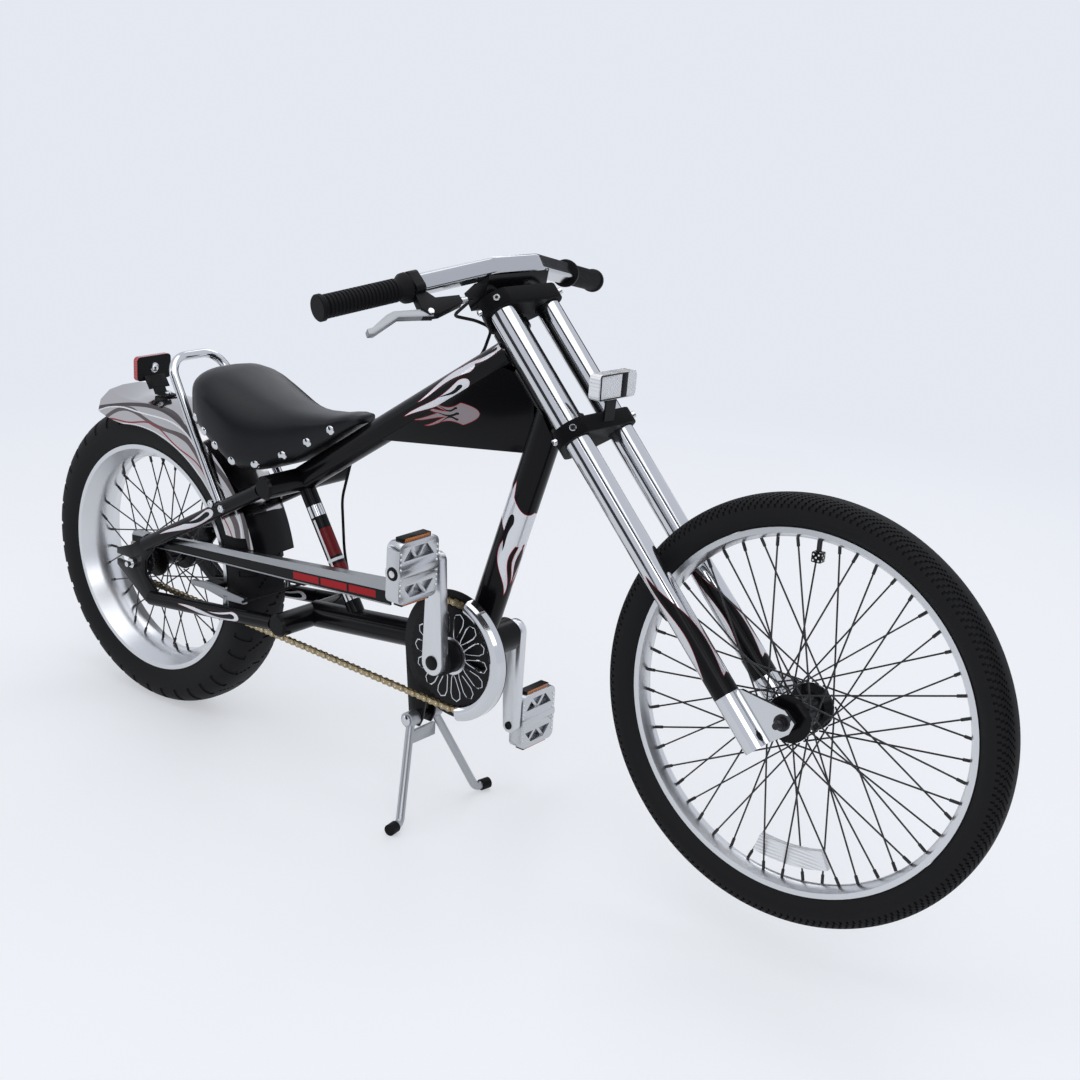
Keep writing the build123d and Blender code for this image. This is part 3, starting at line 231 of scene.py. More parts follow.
@dataclass(eq=False)
class Signal:
    """A shader socket that can be used in Python arithmetic.

    A comparison is one where it holds and zero elsewhere, so "|" takes either mask and "&" both.
    """

    graph: "ShaderGraph"
    socket: bpy.types.NodeSocket

    __add__ = __radd__ = math_node("ADD")
    __sub__ = math_node("SUBTRACT")
    __rsub__ = math_node("SUBTRACT", swapped=True)
    __mul__ = __rmul__ = math_node("MULTIPLY")
    __truediv__ = math_node("DIVIDE")
    __pow__ = math_node("POWER")
    __abs__ = math_node("ABSOLUTE")
    __lt__ = math_node("LESS_THAN")
    __gt__ = math_node("GREATER_THAN")
    __or__ = math_node("MAXIMUM")
    __and__ = math_node("MINIMUM")
    sine = math_node("SINE")
    turn_from = math_node("ARCTAN2")

    def within(self, low: float, high: float) -> "Signal":
        """One between two values, and zero elsewhere."""
        return (self > low) & (self < high)


class ShaderGraph:
    """A node tree, of one material or of the world."""

    def __init__(self, owner: bpy.types.ID) -> None:
        """Turns on the owner's nodes."""
        owner.use_nodes = True
        self.owner = owner
        self.tree = owner.node_tree

    @classmethod
    def material(cls, name: str) -> "ShaderGraph":
        """The graph of a new material."""
        return cls(bpy.data.materials.new(name))

    def node(
        self, kind: str, settings: dict | None = None, inputs: dict | None = None, output: object = 0
    ) -> Signal:
        """Adds a node.

        Args:
            kind: Blender's name for the node's type.
            settings: attributes, set before the sockets.
            inputs: values or signals by socket name or number.
            output: name or number of the socket that comes back.

        Returns:
            The chosen output as a signal.
        """
        added = self.tree.nodes.new(kind)
        for key, value in (settings or {}).items():
            setattr(added, key, value)
        for key, value in (inputs or {}).items():
            self.feed(added.inputs[key], value)
        return Signal(self, added.outputs[output])

    def feed(self, socket: bpy.types.NodeSocket, value: object) -> None:
        """Links a signal to a socket, or sets the socket to a value.

        Args:
            socket: the socket.
            value: a signal, a number or a colour.
        """
        if isinstance(value, Signal):
            self.tree.links.new(value.socket, socket)
        else:
            socket.default_value = value

    def set(self, **values: object) -> None:
        """Feeds the principled shader's sockets, named with underscores for spaces.

        Args:
            values: signals or values by the sockets' names.
        """
        sockets = self.tree.nodes["Principled BSDF"].inputs
        for key, value in values.items():
            self.feed(sockets[key.replace("_", " ").title().replace("Ior", "IOR")], value)

    def place(self) -> Signal:
        """Object coordinates, in metres."""
        return self.node("ShaderNodeTexCoord", output="Object")

    def along(self, origin: Iterable[float], way: Iterable[float]) -> Signal:
        """Distance in millimetres from a point along a direction.

        Args:
            origin: the point, in metres.
            way: the direction, of unit length.

        Returns:
            The distance.
        """
        kind = "ShaderNodeVectorMath"
        away = self.node(kind, {"operation": "SUBTRACT"}, {0: self.place(), 1: tuple(origin)})
        scaled = tuple(part / MM for part in way)
        return self.node(kind, {"operation": "DOT_PRODUCT"}, {0: away, 1: scaled}, "Value")

    def noise(self, scale: float, detail: float = 3.0) -> Signal:
        """Fractal noise between 0 and 1 on object coordinates."""
        inputs = {"Vector": self.place(), "Scale": scale, "Detail": detail}
        return self.node("ShaderNodeTexNoise", {}, inputs)

    def blend(self, mask: Signal, first: object, second: object) -> Signal:
        """Colour that goes from first to second as the mask goes from 0 to 1."""
        return self.node("ShaderNodeMix", {"data_type": "RGBA"}, {0: mask, 6: first, 7: second}, 2)

    def between(self, mask: Signal, first: object, second: object) -> Signal:
        """Number that goes from first to second as the mask goes from 0 to 1."""
        return self.node("ShaderNodeMix", {"data_type": "FLOAT"}, {0: mask, 2: first, 3: second}, 0)

    def bump(self, height: Signal, strength: float, distance: float) -> None:
        """Feeds a bump from a height signal into the shader's normal."""
        inputs = {"Strength": strength, "Distance": distance, "Height": height}
        self.set(normal=self.node("ShaderNodeBump", {}, inputs))


def rgb(red: float, green: float, blue: float) -> Colour:
    """Opaque colour."""
    return (red, green, blue, 1.0)


ROUGHNESS_SPREAD = 0.06
SMUDGE_SCALE = 60.0
GRAIN_M = 0.0006
FACET_M = 0.001


@dataclass(frozen=True)
class Finish:
    """A plain surface: colour, metal, roughness, an optional clear coat and a fine grain."""

    name: str
    colour: Colour
    metallic: float = 0.0
    roughness: float = 0.4
    coat: float = 0.0
    grain: float = 0.0
    grain_scale: float = 400.0
    specular: float = 0.5

    def material(self) -> bpy.types.Material:
        """The material, made once."""
        return bpy.data.materials.get(self.name) or self._build()

    def _build(self) -> bpy.types.Material:
        """Makes the material's nodes."""
        graph = ShaderGraph.material(self.name)
        graph.set(coat_weight=self.coat, coat_roughness=0.05, specular_ior_level=self.specular)
        self._surface(graph)
        if self.grain:
            graph.bump(graph.noise(self.grain_scale, 4.0), self.grain, GRAIN_M)
        return graph.owner

    def _surface(self, graph: ShaderGraph) -> None:
        """Sets colour, metal and a roughness that varies a little.

        Args:
            graph: the material's graph.
        """
        smudges = graph.noise(SMUDGE_SCALE) * ROUGHNESS_SPREAD
        roughness = smudges + (self.roughness - ROUGHNESS_SPREAD / 2)
        graph.set(base_color=self.colour, metallic=self.metallic, roughness=roughness)


@dataclass(frozen=True)
class Track:
    """A line along a tube, from which paint is measured.

    Sideways it is measured straight, or round the tube from its flank where a radius is given.
    """

    root: tuple[float, ...]
    way: tuple[float, ...]
    side: tuple[float, ...]
    flank: tuple[float, ...]
    radius: float = 0.0
    apart: float = 0.0

    @classmethod
    def between(
        cls, start: Vector, end: Vector, across: Vector = LEFT, radius: float = 0.0, apart: float = 0.0
    ) -> "Track":
        """The track from one point to another.

        Args:
            start: the track's root.
            end: a point that it runs to.
            across: the direction out of the plane in which it is measured sideways.
            radius: the tube's radius in millimetres, if the paint wraps round it.
            apart: distance from the plane to the axis of each of two equal tubes.

        Returns:
            The track.
        """
        way = (end - start).normalized()
        side = across.cross(way).normalized()
        return cls(tuple(start), tuple(way), tuple(side), tuple(across), radius, apart)

    def run(self, graph: ShaderGraph) -> Signal:
        """Distance along the track."""
        return graph.along(self.root, self.way)

    def sideways(self, graph: ShaderGraph) -> Signal:
        """Distance sideways, straight or round the tube.

        Args:
            graph: the material's graph.

        Returns:
            The distance in millimetres.
        """
        straight = graph.along(self.root, self.side)
        if not self.radius:
            return straight
        out = abs(abs(graph.along(self.root, self.flank)) - self.apart)
        return straight.turn_from(out) * self.radius


@dataclass(frozen=True)
class Lick:
    """A tongue of paint that tapers and sways along a track."""

    track: Track
    start: float
    offset: float
    heading: int
    length: float
    width: float
    sway: float = 0.0
    taper: float = 0.8
    nose: float = 0.4

    def mask(self, graph: ShaderGraph, grow: float = 0.0) -> Signal:
        """One on the tongue, which is wider by grow, and zero elsewhere.

        Args:
            graph: the material's graph.
            grow: how much wider it is on each side, in millimetres.

        Returns:
            The mask.
        """
        run = (self.track.run(graph) - self.start) * float(self.heading)
        share = run / self.length
        bend = ((share | 0.0) * (1.5 * pi)).sine() * self.sway + self.offset
        tongue = ((1.0 - share) | 0.0) ** self.taper * self.width
        ahead = run * self.nose
        bulb = ((self.width * self.width - ahead * ahead) | 0.0) ** 0.5
        half = graph.between(run > 0.0, bulb, tongue) + grow
        away = abs(self.track.sideways(graph) - bend)
        return (away < half) & run.within(-self.width / self.nose - grow, self.length + 2 * grow)


def licks(track: Track, *rows: tuple[float, ...]) -> tuple[Lick, ...]:
    """Tongues on one track, each from a row of start, offset, heading, length, width and so on."""
    return tuple(Lick(track, *row) for row in rows)


@dataclass(frozen=True)
class Band:
    """A band of paint round a tube, with wavy edges."""

    track: Track
    low: float
    high: float
    wave: float = 0.0
    period: float = 40.0

    def mask(self, graph: ShaderGraph, grow: float = 0.0) -> Signal:
        """One on the band, which is wider by grow, and zero elsewhere."""
        ripple = (self.track.sideways(graph) * (2 * pi / self.period)).sine() * self.wave
        return (self.track.run(graph) + ripple).within(self.low - grow, self.high + grow)


@dataclass(frozen=True)
class Stripe:
    """A straight stripe along a track."""

    track: Track
    low: float
    high: float
    offset: float
    half: float

    def mask(self, graph: ShaderGraph, grow: float = 0.0) -> Signal:
        """One on the stripe, which is wider by grow, and zero elsewhere."""
        away = abs(self.track.sideways(graph) - self.offset)
        return (away < self.half + grow) & self.track.run(graph).within(self.low - grow, self.high + grow)


@dataclass(frozen=True)
class Arc:
    """A wavy line round the rear axle."""

    low: float
    high: float
    wave: float = 0.0
    count: float = 9.0

    def mask(self, graph: ShaderGraph, grow: float = 0.0) -> Signal:
        """One on the line, which is wider by grow, and zero elsewhere.

        Args:
            graph: the material's graph.
            grow: how much wider it is on each side, in millimetres.

        Returns:
            The mask.
        """
        ahead = graph.along(REAR_AXLE, AHEAD)
        above = graph.along(REAR_AXLE, UP)
        ripple = (above.turn_from(ahead) * self.count).sine() * self.wave
        away = (ahead * ahead + above * above) ** 0.5 + ripple
        return away.within(self.low - grow, self.high + grow)


@dataclass(frozen=True)
class Layer:
    """One coat of paint inside a shape; on the fender some layers are painted reflections and highlights.
    """

    shape: Lick | Band | Stripe | Arc
    colour: Colour
    metallic: float = 0.0
    roughness: float = 0.22
    grow: float = 0.0


@dataclass(frozen=True)
class PaintedFinish(Finish):
    """A surface with layers of paint over it."""

    layers: tuple[Layer, ...] = ()

    def _surface(self, graph: ShaderGraph) -> None:
        """Mixes the layers over the ground, first to last.

        Args:
            graph: the material's graph.
        """
        colour: object = self.colour
        metallic: object = self.metallic
        roughness: object = self.roughness
        for layer in self.layers:
            mask = layer.shape.mask(graph, layer.grow)
            colour = graph.blend(mask, colour, layer.colour)
            metallic = graph.between(mask, metallic, layer.metallic)
            roughness = graph.between(mask, roughness, layer.roughness)
        graph.set(base_color=colour, metallic=metallic, roughness=roughness)


@dataclass(frozen=True)
class PrismLens(Finish):
    """A moulded reflector: small facets in rows across two directions, with painted shade in the valleys
    between them.
    """

    across: tuple[float, ...] = (0.0, 1.0, 0.0)
    pitch: float = 5.0
    # share of the lens colour left in the valleys between the facets, as painted shade
    depth: float = 0.45

    def _surface(self, graph: ShaderGraph) -> None:
        """Paints shade into the valleys between the facets and bumps them.

        Args:
            graph: the material's graph.
        """
        wave = 2 * pi / self.pitch
        rows = (graph.along((0, 0, 0), self.across) * wave).sine()
        columns = (graph.along((0, 0, 0), UP) * wave).sine()
        facets = (rows * columns) * 0.5 + 0.5
        # painted shade: the lens colour darkened in the valleys between the facets
        dark = rgb(*(part * self.depth for part in self.colour[:3]))
        graph.set(base_color=graph.blend(facets, dark, self.colour), roughness=self.roughness)
        graph.bump(facets, 0.8, FACET_M)


BLACK = rgb(0.004, 0.004, 0.005)
PEARL = rgb(0.72, 0.73, 0.76)
RED = rgb(0.34, 0.008, 0.012)
DULL_RED = rgb(0.13, 0.008, 0.010)
CHROME_TONE = rgb(0.60, 0.61, 0.63)
# colour of the painted highlights on the fender's chrome
PAINTED_HIGHLIGHT = rgb(0.75, 0.75, 0.77)
GLOSS = {"roughness": 0.2, "coat": 0.03, "specular": 0.12}

GLOSS_BLACK = Finish("gloss black paint", BLACK, **GLOSS)
MATT_BLACK = Finish("matt black casting", BLACK, roughness=0.6, specular=0.06)
SATIN_BLACK = Finish("satin black metal", rgb(0.007, 0.007, 0.008), roughness=0.4, specular=0.12)
CHROME = Finish("polished chrome", CHROME_TONE, metallic=1.0, roughness=0.08)
POLISHED_BAR = Finish("polished bar", rgb(0.47, 0.48, 0.50), metallic=1.0, roughness=0.15)
DULL_ALLOY = Finish("dull alloy", rgb(0.27, 0.28, 0.29), metallic=1.0, roughness=0.3)
ALLOY = Finish("satin alloy", rgb(0.66, 0.67, 0.69), metallic=1.0, roughness=0.3)
CAST_ALLOY = Finish("cast alloy", rgb(0.56, 0.57, 0.59), metallic=1.0, roughness=0.26, grain=0.1)
GREY_CAST = Finish("grey casting", rgb(0.43, 0.44, 0.46), metallic=0.9, roughness=0.38, grain=0.2)
DARK_STEEL = Finish("black spoke wire", rgb(0.012, 0.012, 0.014), roughness=0.35, specular=0.35)
CHAIN_STEEL = Finish("chain plate", rgb(0.36, 0.29, 0.17), metallic=1.0, roughness=0.34)
TYRE_RUBBER = Finish("tyre rubber", rgb(0.010, 0.010, 0.011), roughness=0.6, grain=0.12, specular=0.12)
SOFT_RUBBER = Finish(
    "grip rubber", rgb(0.006, 0.006, 0.007), roughness=0.52, grain=0.2, grain_scale=700.0, specular=0.1
)
LEATHER = Finish(
    "saddle leather", rgb(0.009, 0.009, 0.011), roughness=0.36, grain=0.25, grain_scale=900.0, specular=0.22
)
WHITE_PAINT = Finish("white paint", rgb(0.8, 0.8, 0.8), roughness=0.3)
# lenses with painted shade between their facets
RED_LENS = PrismLens("red lens", rgb(0.55, 0.012, 0.012), roughness=0.14, coat=0.6)
CLEAR_LENS = PrismLens("clear lens", rgb(0.92, 0.93, 0.95), roughness=0.16, coat=0.6, depth=0.72)
AMBER_LENS = PrismLens("amber lens", rgb(0.78, 0.22, 0.012), roughness=0.16, coat=0.6)


def flames(
    shapes: Sequence[Lick | Band],
    hollows: Sequence[Lick] = (),
    fill: Colour = PEARL,
    width: float = 1.2,
    metallic: float = 0.5,
) -> tuple[Layer, ...]:
    """Layers of hot-rod flames: red edges below, then the fill, then dark hollows in it.

    Args:
        shapes: the flames' shapes.
        hollows: shapes that stay dark inside the flames.
        fill: colour of the flames.
        width: width of an edge, in millimetres.
        metallic: how far the fill is metal.

    Returns:
        The layers, first to last.
    """
    edges = tuple(Layer(shape, RED, grow=width) for shape in shapes)
    fills = tuple(Layer(shape, fill, metallic=metallic, roughness=0.2) for shape in shapes)
    return edges + fills + tuple(Layer(hollow, BLACK) for hollow in hollows)


def gloss_paint(name: str, layers: tuple[Layer, ...]) -> PaintedFinish:
    """Gloss black with layers of paint under a clear coat."""
    return PaintedFinish(name, BLACK, **GLOSS, layers=layers)


def stay_paint(name: str, track: Track, root: float, hollow: float) -> PaintedFinish:
    """One long flame that starts at a root on a stay, with a dark hollow of a given length.

    Args:
        name: the finish's name.
        track: the stay's track.
        root: where the flame starts on it.
        hollow: length of the dark hollow.

    Returns:
        The finish.
    """
    outer = licks(track, (root, 0, -1, 140, 8, 4))
    inner = licks(track, (root - 2, 0, -1, hollow, 4.6, 3))
    return gloss_paint(name, flames(outer, inner, width=0.4, metallic=0.1))


DOWN_LINE = Track.between(spot(748, 32), spot(877.4, 449.3), radius=27.0)
TOP_LINE = Track.between(SEAT_JOINT, spot(852, 555))
PANEL_LINE = Track.between(spot(738, 411), spot(611, 385))
SEAT_LINE = Track.between(spot(46, 50), SEAT_JOINT)
CHAIN_LINE = Track.between(spot(62, -54), spot(388, -12))
STRUT_LINE = Track.between(SEAT_JOINT, spot(489, 10))
GUARD_LINE = Track.between(spot(410, 81), spot(640, 105))
LEG_LINE = Track.between(fork_spot(LEG_U, 0, 0), fork_spot(LEG_U, 0, 700), FORK_V, LEG_R, LEG_V)

DOWN_PAINT = gloss_paint(
    "down tube flames",
    flames(
        (
            Band(DOWN_LINE, 222, 278, 18, 120),
            *licks(DOWN_LINE, (222, 22, -1, 105, 14, -11.7), (200, 36, -1, 62, 4, -4), (270, -9, 1, 34, 8)),
        ),
        licks(DOWN_LINE, (240, 5, -1, 50, 6, -2)),
    ),
)
TOP_PAINT = gloss_paint(
    "top tube flames",
    flames(
        licks(TOP_LINE, (520, -12, -1, 84, 5, 3), (424, 8, -1, 130, 8, 4), (452, -8, -1, 120, 6, -4)),
        licks(TOP_LINE, (420, 9, -1, 46, 3, 2), (512, -12, -1, 40, 2.4)),
        width=0.7,
    ),
)
PANEL_PAINT = gloss_paint(
    "tank panel flames",
    flames(
        licks(
            PANEL_LINE,
            (24, 0, -1, 32, 16, 0, 0.5, 1.2),
            (28, -12, 1, 78, 4.5, 5, 0.9, 0.8),
            (22, -4, 1, 106, 6, 4, 0.9, 0.8),
            (22, 5, 1, 88, 6, -5, 0.9, 0.8),
            (28, 12, 1, 68, 4.5, -5, 0.9, 0.8),
        ),
        licks(PANEL_LINE, (38, 0.5, 1, 48, 2, -3), (40, -8.5, 1, 38, 1.8, 4), (40, 9, 1, 38, 1.8, -4)),
        fill=rgb(0.27, 0.23, 0.24),
        width=0.8,
        metallic=0.0,
    ),
)
SEAT_STAY_PAINT = stay_paint("seat stay flames", SEAT_LINE, 190, 74)
CHAIN_STAY_PAINT = stay_paint("chain stay flames", CHAIN_LINE, 214, 92)
STRUT_PAINT = gloss_paint(
    "strut bands",
    (
        *(Layer(Stripe(STRUT_LINE, *ends, -10, 9), DULL_RED) for ends in ((92, 142), (156, 186))),
        Layer(Stripe(STRUT_LINE, 74, 202, -1, 2.4), PEARL),
        Layer(Band(STRUT_LINE, 146, 151), PEARL),
        *(Layer(Band(STRUT_LINE, *ends), CHROME_TONE, 1.0, 0.1) for ends in ((50, 70), (203, 222))),
    ),
)
GUARD_PAINT = gloss_paint(
    "guard bars",
    tuple(Layer(Stripe(GUARD_LINE, start, start + 62, 0, 6.0), RED) for start in (0, 67, 134)),
)
LEG_TONGUES = (Band(LEG_LINE, -100, 98, 6, 60), *licks(LEG_LINE, (100, 5.5, 1, 165, 16, 9.5, 0.7)))
LEG_PAINT = PaintedFinish(
    "flamed fork leg",
    CHROME_TONE,
    metallic=1.0,
    roughness=0.08,
    specular=0.12,
    layers=tuple(
        Layer(shape, colour, grow=grow)
        for colour, grow in ((rgb(0.22, 0.01, 0.014), 1.0), (BLACK, 0.0))
        for shape in LEG_TONGUES
    ),
)
FENDER_CHROME_WITH_PAINTED_REFLECTIONS = PaintedFinish(
    "flamed fender chrome",
    rgb(0.48, 0.47, 0.47),
    metallic=1.0,
    roughness=0.1,
    layers=(
        # painted reflections: the dark arcs stand in for dark surroundings mirrored in the chrome
        Layer(Arc(285, 291, 3, 8), rgb(0.10, 0.09, 0.09), 1.0, 0.1),
        Layer(Arc(243, 250, 3, 7), rgb(0.12, 0.11, 0.11), 1.0, 0.1),
        Layer(Arc(268, 275, 7, 10), rgb(0.13, 0.11, 0.11), 0.9, 0.12),
        Layer(Arc(258, 261, 5, 12), rgb(0.26, 0.02, 0.03), 0.2),
        # painted highlights: the pale arcs
        Layer(Arc(279, 281, 4, 9), PAINTED_HIGHLIGHT, 0.3),
        Layer(Arc(251, 253), PAINTED_HIGHLIGHT, 0.3),
    ),
)


@dataclass(frozen=True)
class Accent:
    """A second finish for the faces that a test picks by their middle and normal."""

    finish: Finish
    test: Callable[[Vector, Vector], bool]


class Shape:
    """A mesh in the making, in the part's frame, with a finish for each face."""

    def __init__(self) -> None:
        """Starts with an empty mesh."""
        self.mesh = bmesh.new()
        self.finishes: list[Finish] = []

    def _slot(self, finish: Finish) -> int:
        """Number of a finish's material slot.

        Args:
            finish: the finish.

        Returns:
            The number.
        """
        if finish not in self.finishes:
            self.finishes.append(finish)
        return self.finishes.index(finish)

    def add(
        self, part: Mesh, finish: Finish, places: Places = (Matrix(),), accents: Sequence[Accent] = ()
    ) -> None:
        """Adds copies of a part and frees it.

        Args:
            part: the part, in metres in its own frame.
            finish: its finish.
            places: placement of each copy.
            accents: other finishes for some of its faces.
        """
        bmesh.ops.recalc_face_normals(part, faces=part.faces)
        for face in part.faces:
            chosen = finish
            for accent in accents:
                if accent.test(face.calc_center_median(), face.normal):
                    chosen = accent.finish
            face.material_index = self._slot(chosen)
        held = bpy.data.meshes.new("held")
        part.to_mesh(held)
        part.free()
        for place in places:
            start = len(self.mesh.verts)
            self.mesh.from_mesh(held)
            self.mesh.verts.ensure_lookup_table()
            bmesh.ops.transform(self.mesh, matrix=place, verts=self.mesh.verts[start:])
        bpy.data.meshes.remove(held)

    def node(self, name: str, finish: Finish, accents: Sequence[Accent] = (), bevel: float = 0.0) -> None:
        """Adds a merged copy of a CAD node, with its sharp edges rounded by a bevel in millimetres.

        Args:
            name: the node.
            finish: its finish.
            accents: other finishes for some of its faces.
            bevel: width of its rounded edges.
        """
        part = bmesh.new()
        part.from_mesh(NODES[name].data)
        bmesh.ops.remove_doubles(part, verts=part.verts, dist=MERGE_M)
        if bevel:
            bmesh.ops.dissolve_limit(part, angle_limit=radians(1), verts=part.verts, edges=part.edges)
            joined = [edge for edge in part.edges if edge.is_manifold]
            hard = [edge for edge in joined if edge.calc_face_angle(0.0) > radians(40)]
            self._bevel(part, hard, bevel, 2)
        self.add(part, finish, accents=accents)

    @staticmethod
    def _bevel(part: Mesh, edges: list[bmesh.types.BMEdge], width: float, segments: int) -> None:
        """Rounds edges by a width in millimetres.

        Args:
            part: the mesh.
            edges: its edges to round.
            width: the width.
            segments: faces across a rounded edge.
        """
        bmesh.ops.bevel(
            part, geom=edges, offset=width * MM, offset_type="OFFSET", segments=segments,
            profile=0.5, affect="EDGES", clamp_overlap=True, material=-1,
        )

    @staticmethod
    def bridge(part: Mesh, rings: Sequence[Sequence[bmesh.types.BMVert]], closed: bool = False) -> None:
        """Joins rings of points by faces, then the last to the first, or else caps both ends.

        Args:
            part: the mesh.
            rings: its rings, in order.
            closed: whether the last joins the first.
        """
        loops = [list({edge for vert in ring for edge in vert.link_edges}) for ring in rings]
        for first, second in zip(loops, loops[1:] + (loops[:1] if closed else [])):
            bmesh.ops.bridge_loops(part, edges=first + second)
        if not closed:
            bmesh.ops.contextual_create(part, geom=loops[0])
            bmesh.ops.contextual_create(part, geom=loops[-1])

    @staticmethod
    def spun(profile: Profile, steps: int, closed: bool = False) -> Mesh:
        """A turned part.

        Args:
            profile: pairs of distance along the Z axis and radius, in millimetres.
            steps: faces round the axis.
            closed: whether the profile's last point joins its first.

        Returns:
            The part's mesh.
        """
        part = bmesh.new()
        verts = [part.verts.new((radius * MM, 0, along * MM)) for along, radius in profile]
        pairs = list(zip(verts, verts[1:])) + ([(verts[-1], verts[0])] if closed else [])
        geom = verts + [part.edges.new(pair) for pair in pairs]
        bmesh.ops.spin(
            part, geom=geom, cent=(0, 0, 0), axis=(0, 0, 1), angle=2 * pi, steps=steps, use_merge=True
        )
        bmesh.ops.remove_doubles(part, verts=part.verts, dist=MERGE_M)
        bmesh.ops.recalc_face_normals(part, faces=part.faces)
        return part

    def lathe(self, finish: Finish, places: Places, profile: Profile, steps: int = 24) -> None:
        """Adds a turned part to each place."""
        self.add(self.spun(profile, steps), finish, places)

    def rod(self, finish: Finish, places: Places, radius: float, length: float, steps: int = 18) -> None:
        """Adds a round rod along Z with eased ends to each place.

        Args:
            finish: its finish.
            places: placement of each copy.
            radius: its radius, in millimetres.
            length: its length.
            steps: faces round it.
        """
        ease = min(0.8, radius * 0.2)
        start = ((0, 0), (0, radius - ease), (ease, radius))
        end = ((length - ease, radius), (length, radius - ease), (length, 0))
        self.lathe(finish, places, start + end, steps)

    def hexagon(self, finish: Finish, places: Places, radius: float, height: float) -> None:
        """Adds a hexagon head on the XY plane to each place.

        Args:
            finish: its finish.
            places: placement of each copy.
            radius: its radius over the corners, in millimetres.
            height: its height.
        """
        part = bmesh.new()
        lift = Matrix.Translation((0, 0, height * MM / 2))
        size = {"radius1": radius * MM, "radius2": radius * MM, "depth": height * MM}
        bmesh.ops.create_cone(part, cap_ends=True, segments=6, matrix=lift, **size)
        self._bevel(part, part.edges[:], 0.5, 1)
        self.add(part, finish, places)

    def block(self, finish: Finish, places: Places, size: Sequence[float], bevel: float) -> None:
        """Adds a box with rounded edges to each place.

        Args:
            finish: its finish.
            places: placement of each copy.
            size: its three edges, in millimetres.
            bevel: width of a rounded edge.
        """
        part = bmesh.new()
        form = Matrix.Diagonal((*(edge * MM for edge in size), 1.0))
        bmesh.ops.create_cube(part, size=1.0, matrix=form)
        self._bevel(part, part.edges[:], bevel, 2)
        self.add(part, finish, places)

    def plate(self, finish: Finish, places: Places, outline: Profile, thick: float) -> None:
        """Adds a flat plate above the XY plane to each place.

        Args:
            finish: its finish.
            places: placement of each copy.
            outline: its corners in order, in millimetres.
            thick: its thickness.
        """
        part = bmesh.new()
        verts = [part.verts.new((x * MM, y * MM, 0)) for x, y in outline]
        edges = [part.edges.new(pair) for pair in zip(verts, verts[1:] + verts[:1])]
        face = bmesh.ops.contextual_create(part, geom=edges)["faces"]
        grown = bmesh.ops.extrude_face_region(part, geom=face)["geom"]
        lifted = [item for item in grown if isinstance(item, bmesh.types.BMVert)]
        bmesh.ops.translate(part, verts=lifted, vec=(0, 0, thick * MM))
        self.add(part, finish, places)

    def dome(self, finish: Finish, places: Places, radius: float, height: float) -> None:
        """Adds a flattened ball on the XY plane to each place.

        Args:
            finish: its finish.
            places: placement of each copy.
            radius: its radius, in millimetres.
            height: its height above the plane.
        """
        part = bmesh.new()
        form = Matrix.Diagonal((radius * MM, radius * MM, height * MM, 1.0))
        bmesh.ops.create_uvsphere(part, u_segments=14, v_segments=8, radius=1.0, matrix=form)
        self.add(part, finish, places)

    def tube(
        self, finish: Finish, points: Sequence[Vector], radius: float, sides: int = 10, closed: bool = False
    ) -> None:
        """Adds a round tube along points.

        Args:
            finish: its finish.
            points: points of its middle line, in metres.
            radius: its radius, in millimetres.
            sides: faces round it.
            closed: whether the last point joins the first.
        """
        part = bmesh.new()
        rings = []
        x_way = None
        last = len(points) - 1
        for index, point in enumerate(points):
            before = points[index - 1] if index or closed else point
            after = points[(index + 1) % len(points)] if index < last or closed else point
            place = frame_at(point, after - before, x_way)
            x_way = place.col[0].to_3d()
            ring = bmesh.ops.create_circle(part, radius=radius * MM, segments=sides, matrix=place)
            rings.append(ring["verts"])
        self.bridge(part, rings, closed)
        self.add(part, finish)

    def publish(
        self, name: str, body: str | None, replaced: Sequence[str] = (), sharp: float = 32.0
    ) -> Piece:
        """Turns the shape into a piece.

        Args:
            name: the piece's name.
            body: the body that carries it, or None where the caller ties it to bodies.
            replaced: nodes that the piece stands for.
            sharp: angle in degrees above which an edge shows.

        Returns:
            The new object.
        """
        for face in self.mesh.faces:
            face.smooth = True
        for edge in self.mesh.edges:
            edge.smooth = edge.is_manifold and edge.calc_face_angle(0.0) < radians(sharp)
        mesh = bpy.data.meshes.new(name)
        self.mesh.to_mesh(mesh)
        self.mesh.free()
        for finish in self.finishes:
            mesh.materials.append(finish.material())
        piece = bpy.data.objects.new(name, mesh)
        bpy.context.scene.collection.objects.link(piece)
        if body:
            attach(piece, body)
        if replaced:
            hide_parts(*replaced)
        log.info("piece %s on %s: %d faces", name, body, len(mesh.polygons))
        return piece


def skin(name: str, finish: Finish, accents: Sequence[Accent] = (), bevel: float = 0.0) -> None:
    """Dresses a CAD node in a smooth copy of itself, which stands for the node.

    Args:
        name: the node.
        finish: its finish.
        accents: other finishes for some of its faces.
        bevel: width of its rounded edges, in millimetres.
    """
    shape = Shape()
    shape.node(name, finish, accents, bevel)
    shape.publish(f"{name}_skin", NODES[name]["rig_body"], (name,))


